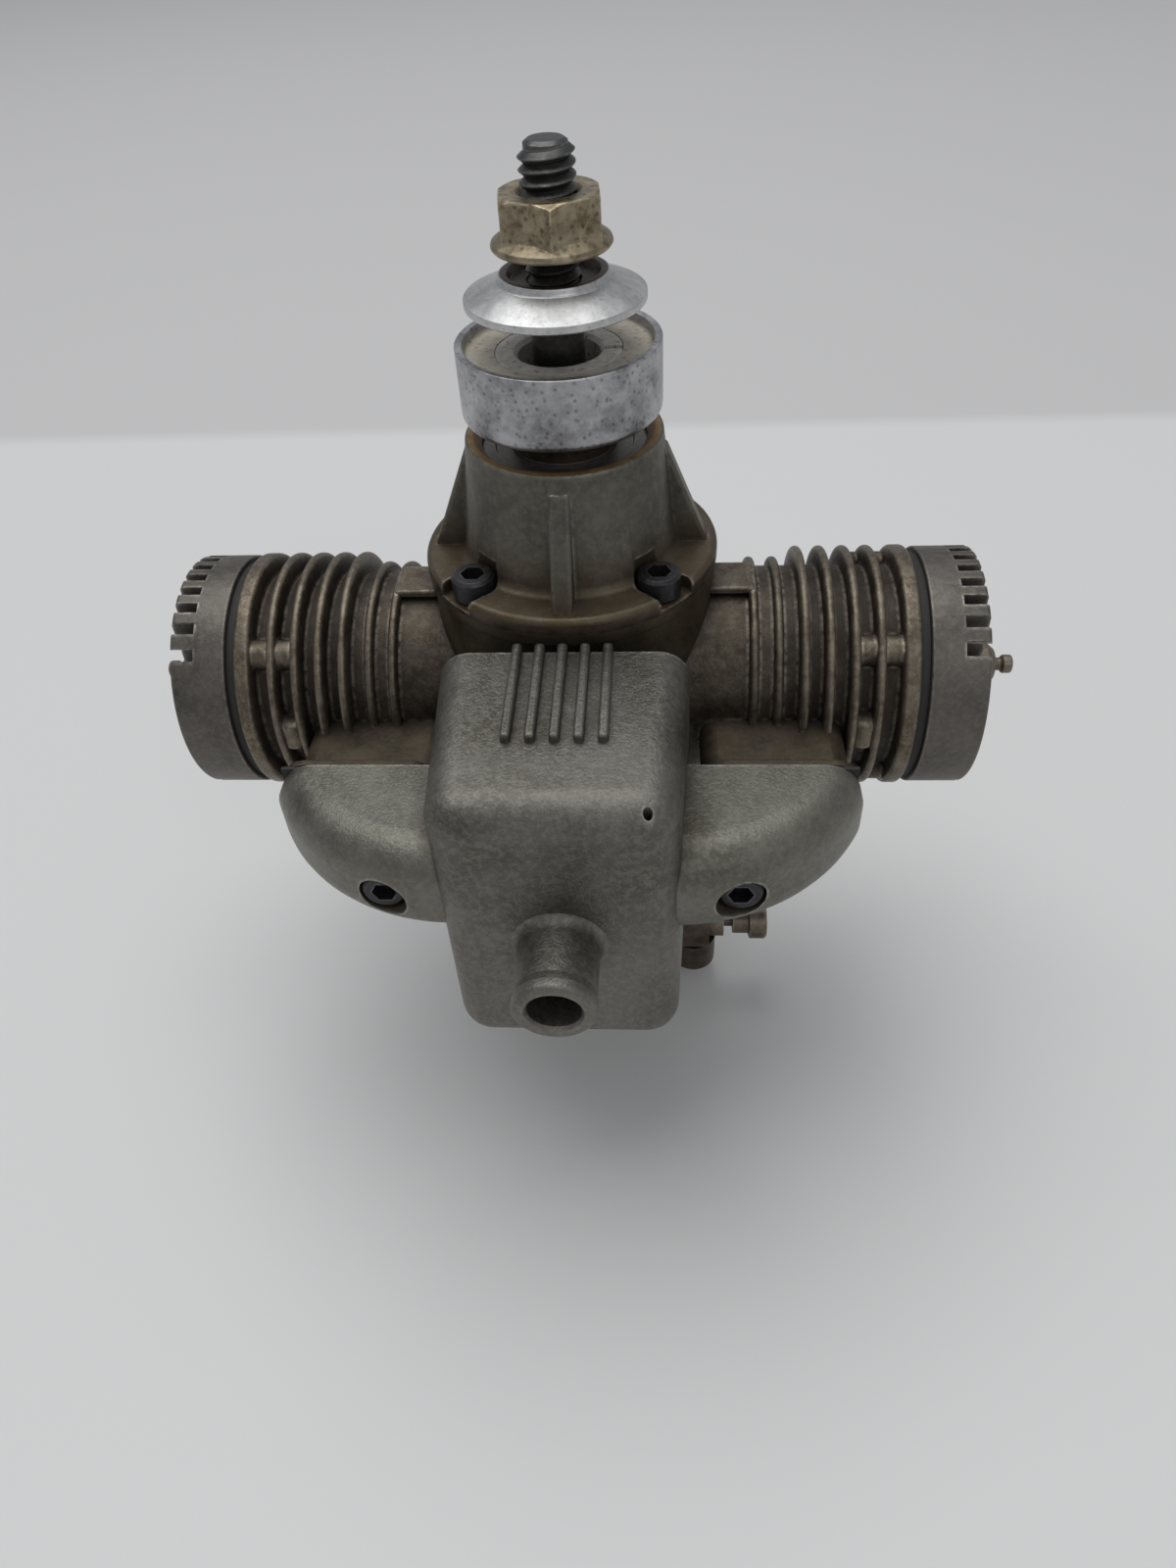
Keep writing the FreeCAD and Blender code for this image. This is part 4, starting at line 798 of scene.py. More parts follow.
@dataclass(frozen=True)
class MetalFinish:
    """Metal with grain, mottling, oily deposits and painted shade in the corners, painted shade between fins
    where asked, and rubbed edges.
    """

    name: str
    base: Point3
    light: Point3
    dark: Point3
    roughness: float = 0.5
    metallic: float = 0.85
    fine_scale: float = 2500.0
    slow_scale: float = 130.0
    bump: float = 0.10
    bump_height: float = 0.0003
    mottle: float = 0.5
    grime_and_shade: float = 0.5
    grime_and_shade_reach: float = 0.004
    wear: float = 0.6
    wear_width: float = 0.0004
    streak: Point3 | None = None
    streak_amount: float = 0.0
    pits: float = 0.0
    speckle: float = 0.25
    # Radii in millimetres over which the painted shade between the fins fades out.
    valley_shade: Point2 | None = None
    settled: Point2 | None = None
    settled_colour: Point3 = (0.085, 0.058, 0.026)

    def colour(
        self, tree: Tree, grain: Sockets, dirt_and_shade: Socket,
        rubbed: Socket,
    ) -> Socket:
        """Colour of the metal, layer over layer.

        Args:
            tree: The material's node tree.
            grain: Outputs of the grain group.
            dirt_and_shade: Mask of the oily deposits and of the painted shade in closed-in corners.
            rubbed: Mask of the rubbed edges.

        Returns:
            The colour's socket.
        """
        colour = over(tree, rgba(self.base), grain["Mottle"], self.mottle, self.light)
        colour = over(tree, colour, grain["Speckle"], self.speckle, [c * 1.35 for c in self.light])
        if self.streak:
            lines = remap(tree, noise(tree, 1.0, 3.0, 0.55, self.streak), 0.42, 0.68)
            patch = math_node(tree, "MULTIPLY_ADD", grain["Mottle"], 0.75, 0.25)
            broken = math_node(tree, "MULTIPLY", lines, patch)
            colour = over(tree, colour, broken, self.streak_amount, self.light)
        if self.pits:
            holes = math_node(tree, "SUBTRACT", 1.0, grain["Pits"])
            colour = over(tree, colour, holes, self.pits, self.dark)
        # Painted shade deep between the fins.
        if self.valley_shade:
            floor, crest = self.valley_shade
            fin_shade = FIN_SHADE.place(tree, {"Floor": floor * MM, "Crest": crest * MM})["Mask"]
            colour = over(tree, colour, fin_shade, 1.0, self.dark)
        if self.settled:
            full, clear = self.settled
            silt = SETTLED.place(tree, {"Full": full * MM, "Clear": clear * MM})["Mask"]
            colour = over(tree, colour, silt, 1.0, self.settled_colour)
        # Oily deposits and painted shade: closed-in corners turn dark.
        colour = over(tree, colour, dirt_and_shade, 1.0, self.dark)
        return over(tree, colour, rubbed, 1.0, [min(1.0, c * 1.9 + 0.06) for c in self.light])

    def build(self) -> Material:
        """Make the material.

        Returns:
            The material.
        """
        material, tree, shader = new_material(self.name)
        grain = GRAIN.place(tree, {"Fine Scale": self.fine_scale, "Slow Scale": self.slow_scale})
        dirt_and_shade = GRIME_AND_SHADE.place(tree, {"Reach": self.grime_and_shade_reach, "Spread": self.grime_and_shade})["Mask"]
        worn = EDGES.place(tree, {"Width": self.wear_width})["Mask"]
        rubbed = math_node(tree, "MULTIPLY", worn, self.wear)
        rough = math_node(tree, "MULTIPLY_ADD", dirt_and_shade, 0.22, self.roughness)
        rough = math_node(tree, "MULTIPLY_ADD", grain["Mottle"], 0.12, rough)
        rough = math_node(tree, "MULTIPLY_ADD", rubbed, -0.15, rough)
        metal = math_node(tree, "MULTIPLY_ADD", dirt_and_shade, -0.55 * self.metallic, self.metallic)
        bump = tree.nodes.new("ShaderNodeBump")
        bump.inputs["Strength"].default_value = self.bump
        bump.inputs["Distance"].default_value = self.bump_height
        tree.links.new(grain["Height"], bump.inputs["Height"])
        for label, value in (
            ("Base Color", self.colour(tree, grain, dirt_and_shade, rubbed)), ("Roughness", rough), ("Metallic", metal),
            ("Normal", bump.outputs["Normal"]),
        ):
            tree.links.new(value, shader.inputs[label])
        return material


@dataclass(frozen=True)
class PlainFinish:
    """Dark fibre or rubber with a faint mottle."""

    name: str
    base: Point3
    light: Point3
    roughness: float = 0.7
    scale: float = 900.0

    def build(self) -> Material:
        """Make the material.

        Returns:
            The material.
        """
        material, tree, shader = new_material(self.name)
        colour = mix(tree, noise(tree, self.scale, 5.0), rgba(self.base), rgba(self.light))
        tree.links.new(colour, shader.inputs["Base Color"])
        shader.inputs["Roughness"].default_value = self.roughness
        return material


FINISHES = (
    MetalFinish("case", (0.036, 0.027, 0.016), (0.086, 0.067, 0.040), (0.012, 0.008, 0.005), 0.38, 0.5,
                slow_scale=220.0, mottle=0.7, grime_and_shade=0.62, grime_and_shade_reach=0.006, wear=0.35, speckle=0.3),
    MetalFinish("fins", (0.082, 0.064, 0.043), (0.200, 0.172, 0.130), (0.013, 0.008, 0.005), 0.38, 0.75,
                fine_scale=1500.0, slow_scale=260.0, mottle=0.7, grime_and_shade=0.60, grime_and_shade_reach=0.003, wear=1.0,
                wear_width=0.0009, bump=0.25, pits=0.45, speckle=0.5, valley_shade=(13.0, 16.9)),
    MetalFinish("barrel", (0.052, 0.036, 0.019), (0.40, 0.33, 0.22), (0.018, 0.011, 0.006), 0.36, 0.6,
                fine_scale=1500.0, slow_scale=240.0, mottle=0.12, grime_and_shade=0.62, grime_and_shade_reach=0.008, wear=0.4,
                streak=(1500.0, 260.0, 260.0), streak_amount=0.62, bump=0.25, speckle=0.12),
    MetalFinish("housing", (0.082, 0.075, 0.060), (0.168, 0.158, 0.132), (0.030, 0.020, 0.010), 0.40, 0.78,
                fine_scale=1700.0, slow_scale=150.0, mottle=0.65, grime_and_shade=0.55, grime_and_shade_reach=0.005, wear=0.9,
                wear_width=0.0008, bump=0.2, speckle=0.3, settled=(41.0, 50.0)),
    MetalFinish("silencer", (0.096, 0.089, 0.074), (0.212, 0.204, 0.180), (0.036, 0.026, 0.016), 0.36, 0.88,
                fine_scale=2300.0, slow_scale=80.0, mottle=0.65, grime_and_shade=0.52, grime_and_shade_reach=0.0045,
                wear=0.6, wear_width=0.0009, streak=(900.0, 160.0, 160.0), streak_amount=0.3, bump=0.4,
                pits=0.3, speckle=0.35),
    MetalFinish("manifold", (0.108, 0.104, 0.084), (0.215, 0.210, 0.180), (0.040, 0.026, 0.013), 0.33, 0.88,
                fine_scale=2300.0, slow_scale=100.0, mottle=0.65, grime_and_shade=0.62, grime_and_shade_reach=0.006, wear=0.7,
                wear_width=0.0007, streak=(900.0, 200.0, 200.0), streak_amount=0.35, bump=0.35, pits=0.25,
                speckle=0.3),
    MetalFinish("head", (0.090, 0.081, 0.070), (0.170, 0.156, 0.138), (0.026, 0.018, 0.012), 0.42, 0.8,
                fine_scale=2200.0, slow_scale=140.0, mottle=0.65, grime_and_shade=0.5, grime_and_shade_reach=0.003, wear=0.9,
                wear_width=0.0007, bump=0.2, speckle=0.3),
    MetalFinish("bright", (0.20, 0.20, 0.21), (0.50, 0.50, 0.51), (0.060, 0.050, 0.044), 0.27, 0.95,
                fine_scale=1100.0, slow_scale=210.0, bump=0.05, mottle=0.85, grime_and_shade=0.25, grime_and_shade_reach=0.002,
                wear=0.3, pits=0.75, speckle=0.25),
    MetalFinish("machined", (0.44, 0.44, 0.44), (0.66, 0.66, 0.65), (0.16, 0.13, 0.10), 0.33, 0.9,
                fine_scale=1400.0, bump=0.05, mottle=0.6, grime_and_shade=0.15, grime_and_shade_reach=0.002, wear=0.3, pits=0.35),
    MetalFinish("stained", (0.46, 0.425, 0.345), (0.60, 0.565, 0.48), (0.11, 0.070, 0.036), 0.50, 0.4,
                fine_scale=900.0, slow_scale=420.0, bump=0.06, mottle=0.6, grime_and_shade=0.30, grime_and_shade_reach=0.0025,
                wear=0.2, pits=0.65),
    MetalFinish("collet", (0.50, 0.485, 0.435), (0.66, 0.64, 0.58), (0.060, 0.042, 0.028), 0.45, 0.35,
                fine_scale=1100.0, slow_scale=600.0, bump=0.08, mottle=0.6, grime_and_shade=0.22, grime_and_shade_reach=0.001,
                wear=0.5, pits=0.75, speckle=0.4),
    MetalFinish("oily", (0.040, 0.030, 0.022), (0.105, 0.082, 0.060), (0.010, 0.007, 0.005), 0.28, 0.6,
                fine_scale=900.0, slow_scale=500.0, bump=0.15, mottle=0.7, grime_and_shade=0.45, grime_and_shade_reach=0.002,
                wear=0.3),
    MetalFinish("varnish", (0.190, 0.112, 0.040), (0.34, 0.225, 0.100), (0.034, 0.020, 0.009), 0.34, 0.5,
                fine_scale=1200.0, slow_scale=400.0, bump=0.08, mottle=0.7, grime_and_shade=0.38, grime_and_shade_reach=0.0015,
                wear=0.6),
    MetalFinish("nut", (0.130, 0.104, 0.062), (0.37, 0.315, 0.215), (0.020, 0.013, 0.007), 0.34, 0.85,
                fine_scale=1000.0, slow_scale=620.0, bump=0.15, mottle=0.9, grime_and_shade=0.5, grime_and_shade_reach=0.0015,
                wear=0.9, wear_width=0.0006, streak=(900.0, 900.0, 170.0), streak_amount=0.6, pits=0.8,
                speckle=0.3),
    MetalFinish("blackened", (0.024, 0.024, 0.026), (0.072, 0.072, 0.075), (0.009, 0.008, 0.007), 0.34, 0.8,
                bump=0.05, mottle=0.5, grime_and_shade=0.3, grime_and_shade_reach=0.001, wear=0.9, wear_width=0.0004),
    MetalFinish("thread", (0.050, 0.050, 0.048), (0.130, 0.130, 0.126), (0.008, 0.007, 0.006), 0.28, 0.9,
                bump=0.05, mottle=0.5, grime_and_shade=0.6, grime_and_shade_reach=0.0012, wear=0.9, wear_width=0.0004),
    MetalFinish("steel", (0.26, 0.255, 0.24), (0.38, 0.37, 0.35), (0.05, 0.036, 0.024), 0.34, 0.95,
                bump=0.03, mottle=0.5, grime_and_shade=0.45, grime_and_shade_reach=0.002, wear=0.4),
    MetalFinish("tarnished", (0.120, 0.098, 0.072), (0.25, 0.215, 0.17), (0.030, 0.020, 0.012), 0.38, 0.8,
                fine_scale=1400.0, slow_scale=500.0, bump=0.1, mottle=0.6, grime_and_shade=0.55, grime_and_shade_reach=0.002,
                wear=0.7),
    PlainFinish("fibre", (0.012, 0.011, 0.010), (0.03, 0.028, 0.026)),
)


# ---------------------------------------------------------------- sub-assemblies


@dataclass
class SocketScrew:
    """Socket cap screw with a knurled head."""

    head_radius: float = 2.82
    head_height: float = 3.5
    socket_across: float = 2.78
    socket_depth: float = 1.9
    ridges: int = 36

    def build(self, name: str) -> Piece:
        """Head on the origin, its face up Z.

        Args:
            name: The new object's name.

        Returns:
            The new object.
        """
        r, h = self.head_radius, self.head_height
        head = turned(name, [
            (0, 0), (r - 0.12, 0, 0.1), (r, 0.25, 0.1), (r, h - 0.4, 0.2), (r - 0.42, h, 0.12), (0, h),
        ], steps=self.ridges * 4, angle=25.0)
        self.knurl(head)
        socket = self.hexagon(name + "_socket")
        carve(head, [socket])
        return settle(head, 25.0)

    def knurl(self, head: Piece) -> None:
        """Press fine flutes into the head's side.

        Args:
            head: The screw's head.
        """
        for vertex in head.data.vertices:
            spot = vertex.co / MM
            reach = math.hypot(spot.x, spot.y)
            if reach > self.head_radius - 0.05 and 0.3 < spot.z < self.head_height - 0.5:
                turn = math.atan2(spot.y, spot.x)
                press = 0.07 * (0.5 + 0.5 * math.cos(turn * self.ridges))
                vertex.co.x *= 1 - press / reach
                vertex.co.y *= 1 - press / reach

    def hexagon(self, name: str) -> Piece:
        """Cutter for the socket, with a conical floor.

        Args:
            name: The new object's name.

        Returns:
            The new object.
        """
        r = self.socket_across / math.sqrt(3)
        floor = self.head_height - self.socket_depth
        points = [
            (r * math.cos(math.radians(60 * i)), r * math.sin(math.radians(60 * i)), floor) for i in range(6)
        ]
        return extruded(name, points, (0, 0, self.socket_depth + 1.0))


def stand(piece: Piece, place: Point3, direction: Point3) -> Piece:
    """Point a piece drawn up Z along a direction and put it at a place, in its mesh.

    Args:
        piece: The mesh object.
        place: Where to, in millimetres.
        direction: Where its Z is to point.

    Returns:
        The same object.
    """
    turn = Vector((0, 0, 1)).rotation_difference(Vector(direction)).to_matrix().to_4x4()
    piece.data.transform(Matrix.Translation(Vector(place) * MM) @ turn)
    return piece


@dataclass
class PropellerDrive:
    """Driver hub, collet, stud, coned washer and flanged nut on the crankshaft's nose."""

    hub_radius: float = 12.5
    hub_foot: float = 62.3
    hub_top: float = 71.1
    rim: float = 0.95
    recess: float = 1.3
    boss_radius: float = 6.6
    boss_foot: float = 58.2
    nose_radius: float = 5.0
    shaft_fit: float = 0.04
    collet_radius: float = 7.75
    collet_foot_radius: float = 6.3
    slit: float = 1.0
    collet_foot: float = 62.4
    shaft_end: float = 65.8
    stud_radius: float = 3.175
    stud_top: float = 92.2
    stud_depth: float = 9.8
    thread_pitch: float = 1.27
    thread_start: float = 77.5
    washer_foot: float = 75.3
    washer_radius: float = 10.75
    washer_height: float = 3.5
    washer_neck: float = 6.4
    washer_recess: float = 0.9
    nut_foot: float = 81.4
    nut_across: float = 11.1
    nut_height: float = 5.8
    nut_crown: float = 0.45
    nut_corner: float = -84.5
    nut_flange: float = 7.0
    nut_bore: float = 3.21

    def hub(self) -> Piece:
        """Cup-faced driver with a rounded lower edge.

        Returns:
            The new object.
        """
        face = self.hub_top - self.recess
        inner = self.hub_radius - self.rim
        foot, top, r = self.hub_foot, self.hub_top, self.hub_radius
        boss, fit = self.boss_radius, self.shaft_fit
        bore = self.nose_radius + fit
        return turned("prop_driver_hub", [
            (bore, self.boss_foot), (boss, self.boss_foot), (boss, foot, 0.2), (r, foot, 0.9), (r, top, 0.18),
            (inner, top, 0.18), (inner - 0.15, face, 0.35), (self.collet_radius + fit, face),
            (self.collet_foot_radius + fit, self.collet_foot), (bore, self.collet_foot),
        ], steps=128, angle=25.0)

    def collet(self) -> Piece:
        """Split taper ring round the crankshaft's nose.

        Returns:
            The new object.
        """
        face = self.hub_top - self.recess
        bore, foot = self.nose_radius + self.shaft_fit, self.collet_foot + 0.1
        ring = turned("driver_collet_ring", [
            (bore, foot), (self.collet_foot_radius, foot), (self.collet_radius, face - 0.02, 0.15),
            (self.nose_radius + 0.5, face - 0.02, 0.1), (bore, face - 0.5),
        ], steps=96, angle=25.0)
        half = self.slit / 2
        across, height = (0, self.collet_radius + 1), (self.collet_foot - 1, face + 1)
        slit = block("collet_slit", across, (-half, half), height)
        carve(ring, [slit])
        return settle(ring, 25.0)

    def stud(self) -> Piece:
        """Plain shank with a rolled thread above it.

        Returns:
            The new object.
        """
        r, core = self.stud_radius, self.stud_radius - 0.72
        foot, tip = self.shaft_end - self.stud_depth, self.stud_top
        shank = turned("prop_stud_thread", [
            (0, foot), (r - 0.05, foot), (r - 0.02, self.thread_start, 0.2), (core, self.thread_start + 0.7),
            (core, tip - 0.9), (core, tip - 0.35, 0.1), (core - 0.5, tip, 0.1), (0, tip),
        ], steps=64, angle=30.0)
        turns = int((tip - 0.5 - self.thread_start) / self.thread_pitch)
        profile = [
            (core - 0.25, 0, 0.0), (core + 0.08, 0, 0.02), (r - 0.06, 0, 0.50), (r, 0, 0.57),
            (r, 0, 0.68), (r - 0.06, 0, 0.75), (core + 0.08, 0, 1.23), (core - 0.25, 0, 1.25),
        ]
        base = tip - 0.45 - (turns + 1) * self.thread_pitch
        ring = vertex_chain("thread", [(x, y, z + base) for x, y, z in profile + profile[:1]])
        bpy.ops.mesh.remove_doubles(threshold=0.002 * MM)
        bpy.ops.object.mode_set(mode="OBJECT")
        apply_modifier(
            ring, "SCREW", axis="Z", angle=math.tau, screw_offset=self.thread_pitch * MM,
            iterations=turns, steps=64, render_steps=64, use_merge_vertices=False,
        )
        activate(ring)
        bpy.ops.object.mode_set(mode="EDIT")
        bpy.ops.mesh.select_all(action="SELECT")
        bpy.ops.mesh.fill_holes(sides=0)
        bpy.ops.object.mode_set(mode="OBJECT")
        settle(ring, 30.0)
        return join([shank, ring], "prop_stud_thread")

    def washer(self) -> Piece:
        """Coned washer with a recess round the stud.

        Returns:
            The new object.
        """
        foot, top, r = self.washer_foot, self.washer_foot + self.washer_height, self.washer_radius
        bore, neck, floor = self.stud_radius + 0.08, self.washer_neck, top - self.washer_recess
        return turned("prop_washer_cone", [
            (bore, foot), (r - 0.4, foot, 0.1), (r, foot + 0.25, 0.12), (r, foot + 1.05, 0.15),
            (neck + 0.2, top - 0.75, 0.5), (neck, top, 0.15), (neck - 0.9, top, 0.15),
            (neck - 1.3, floor, 0.2), (bore, floor),
        ], steps=128, angle=25.0)

    def nut(self) -> Piece:
        """Flanged nut with chamfered corners.

        Returns:
            The new object.
        """
        r = self.nut_across / math.sqrt(3)
        foot, top = self.nut_foot, self.nut_foot + self.nut_height
        corners = [math.radians(self.nut_corner + 60 * i) for i in range(6)]
        body = extruded("prop_nut_hex", [
            (r * math.cos(a), r * math.sin(a), foot + 0.3) for a in corners
        ], (0, 0, top - foot - 0.3))
        crown = turned("nut_crown", [
            (0, foot - 1), (r + 0.3, foot - 1), (r + 0.3, top - self.nut_crown - 0.2),
            (self.nut_across / 2 + 0.05, top), (0, top),
        ], steps=96)
        apply_modifier(body, "BOOLEAN", object=crown, operation="INTERSECT", solver="EXACT")
        bpy.data.objects.remove(crown)
        wide = self.nut_flange
        flange = turned("nut_flange", [
            (0, foot), (wide - 0.25, foot, 0.2), (wide, foot + 0.35, 0.2), (wide - 0.15, foot + 0.8, 0.3),
            (wide - 1.4, foot + 1.65, 0.4), (wide - 2.5, foot + 1.9), (0, foot + 1.9),
        ], steps=96)
        blend_in(body, [flange])
        bore = self.nut_bore
        carve(body, [turned("nut_bore", [
            (0, foot - 1), (bore, foot - 1), (bore, top - 0.55), (bore + 0.54, top + 0.01),
            (bore + 0.54, top + 1), (0, top + 1),
        ], steps=64)])
        soften(body, 0.12, 2, 30.0)
        return settle(body, 30.0)

    def build(self, finish: Finishes) -> None:
        """Make and dress the five pieces.

        Args:
            finish: The materials, by name.
        """
        hub = dress(self.hub(), finish["bright"], "crank", ["prop_driver"])
        inner = self.hub_radius - self.rim - 0.1
        repaint(hub, finish["stained"], lambda c, n: c.z > self.hub_foot + 1 and math.hypot(c.x, c.y) < inner)
        # Painted shade with oil: the boss below the hub's foot, in the gap over the housing, takes the dark
        # oily finish.
        repaint(hub, finish["oily"], lambda c, n: c.z < self.hub_foot - 0.05)
        dress(self.collet(), finish["collet"], "crank", ["driver_collet"])
        dress(self.stud(), finish["thread"], "crank", ["prop_stud"])
        washer = dress(self.washer(), finish["machined"], "washer", ["prop_washer"])
        low, lip = self.washer_foot + 1, self.washer_neck - 0.3
        repaint(washer, finish["oily"], lambda c, n: c.z > low and math.hypot(c.x, c.y) < lip)
        dress(self.nut(), finish["nut"], "crank", ["prop_nut"])


@dataclass
class FrontHousing:
    """Flanged nose with four gussets, spot faces and socket screws."""

    flange_radius: float = 19.8
    flange_foot: float = 41.7
    foot_radius: float = 14.2
    top_radius: float = 12.6
    top: float = 59.6
    bearing_radius: float = 10.5
    bearing_floor: float = 53.2
    shaft_hole: float = 7.2
    spigot_radius: float = 13.9
    spigot_bore: float = 12.0
    spigot_foot: float = 36.0
    main_floor: float = 42.0
    gusset: float = 2.7
    gusset_height: float = 13.4
    gusset_reach: float = 18.4
    screw_circle: float = 32.8
    screw_angle: float = 43.0
    spot_radius: float = 3.2
    spot_depth: float = 1.7
    notch_circle: float = 36.6

    def flange_points(self, diameter: float) -> list[Point2]:
        """Points on a circle in the directions of the flange screws."""
        a = self.screw_angle
        return circle_points(diameter, (a, 180 - a, 180 + a, -a))

    def shell(self) -> Piece:
        """Turned body with its gussets and spot faces.

        Returns:
            The new object.
        """
        body = turned("front_housing_shell", [
            (self.shaft_hole, self.main_floor), (self.spigot_bore, self.main_floor),
            (self.spigot_bore, self.spigot_foot), (self.spigot_radius, self.spigot_foot),
            (self.spigot_radius, self.flange_foot),
            (self.flange_radius, self.flange_foot, 0.15), (self.flange_radius, FLANGE_Z, 0.9),
            (self.foot_radius + 0.1, FLANGE_Z, 1.3), (self.top_radius, self.top, 0.3),
            (self.bearing_radius + 1.0, self.top, 0.2), (self.bearing_radius, self.top - 0.9, 0.2),
            (self.bearing_radius, self.bearing_floor), (self.shaft_hole, self.bearing_floor),
        ], steps=144, angle=25.0)
        half, inner, crest = self.gusset / 2, self.top_radius - 1, FLANGE_Z + self.gusset_height
        ribs = []
        for turn in range(4):
            rib = extruded("gusset", [
                (inner, -half, FLANGE_Z - 0.4), (self.gusset_reach, -half, FLANGE_Z - 0.4),
                (self.gusset_reach, -half, FLANGE_Z + 0.1), (self.top_radius + 0.4, -half, crest),
                (inner, -half, crest + 0.2),
            ], (0, self.gusset, 0))
            soften(rib, 0.45, 3)
            rib.data.transform(Matrix.Rotation(math.radians(90 * turn), 4, "Z"))
            ribs.append(settle(rib))
        blend_in(body, ribs)
        seat = FLANGE_Z - self.spot_depth
        carve(body, [
            rod("spot", self.spot_radius, seat, FLANGE_Z + 3.0, centre=(x, y, 0))
            for x, y in self.flange_points(self.screw_circle) + self.flange_points(self.notch_circle)
        ])
        soften(body, 0.16, 2, 45.0)
        return settle(body, 30.0)

    def build(self, finish: Finishes) -> None:
        """Make and dress the housing and its screws.

        Args:
            finish: The materials, by name.
        """
        shell = dress(self.shell(), finish["housing"], ROOT, ["front_housing"])
        lip = self.top_radius - 0.25
        repaint(shell, finish["varnish"], lambda c, n: c.z > self.top - 1.2 and math.hypot(c.x, c.y) < lip)
        repaint(shell, finish["oily"], lambda c, n: c.z < FLANGE_Z - 0.95 and abs(n.z) < 0.6)
        screw = SocketScrew(head_height=3.3).build("housing_screw")
        screws = [
            stand(copy_of(screw, "screw"), (x, y, FLANGE_Z - self.spot_depth), (0, 0, 1))
            for x, y in self.flange_points(self.screw_circle)
        ]
        bpy.data.objects.remove(screw)
        heads = join(screws, "front_housing_screw_heads")
        dress(heads, finish["blackened"], ROOT, ["front_housing_screws"])


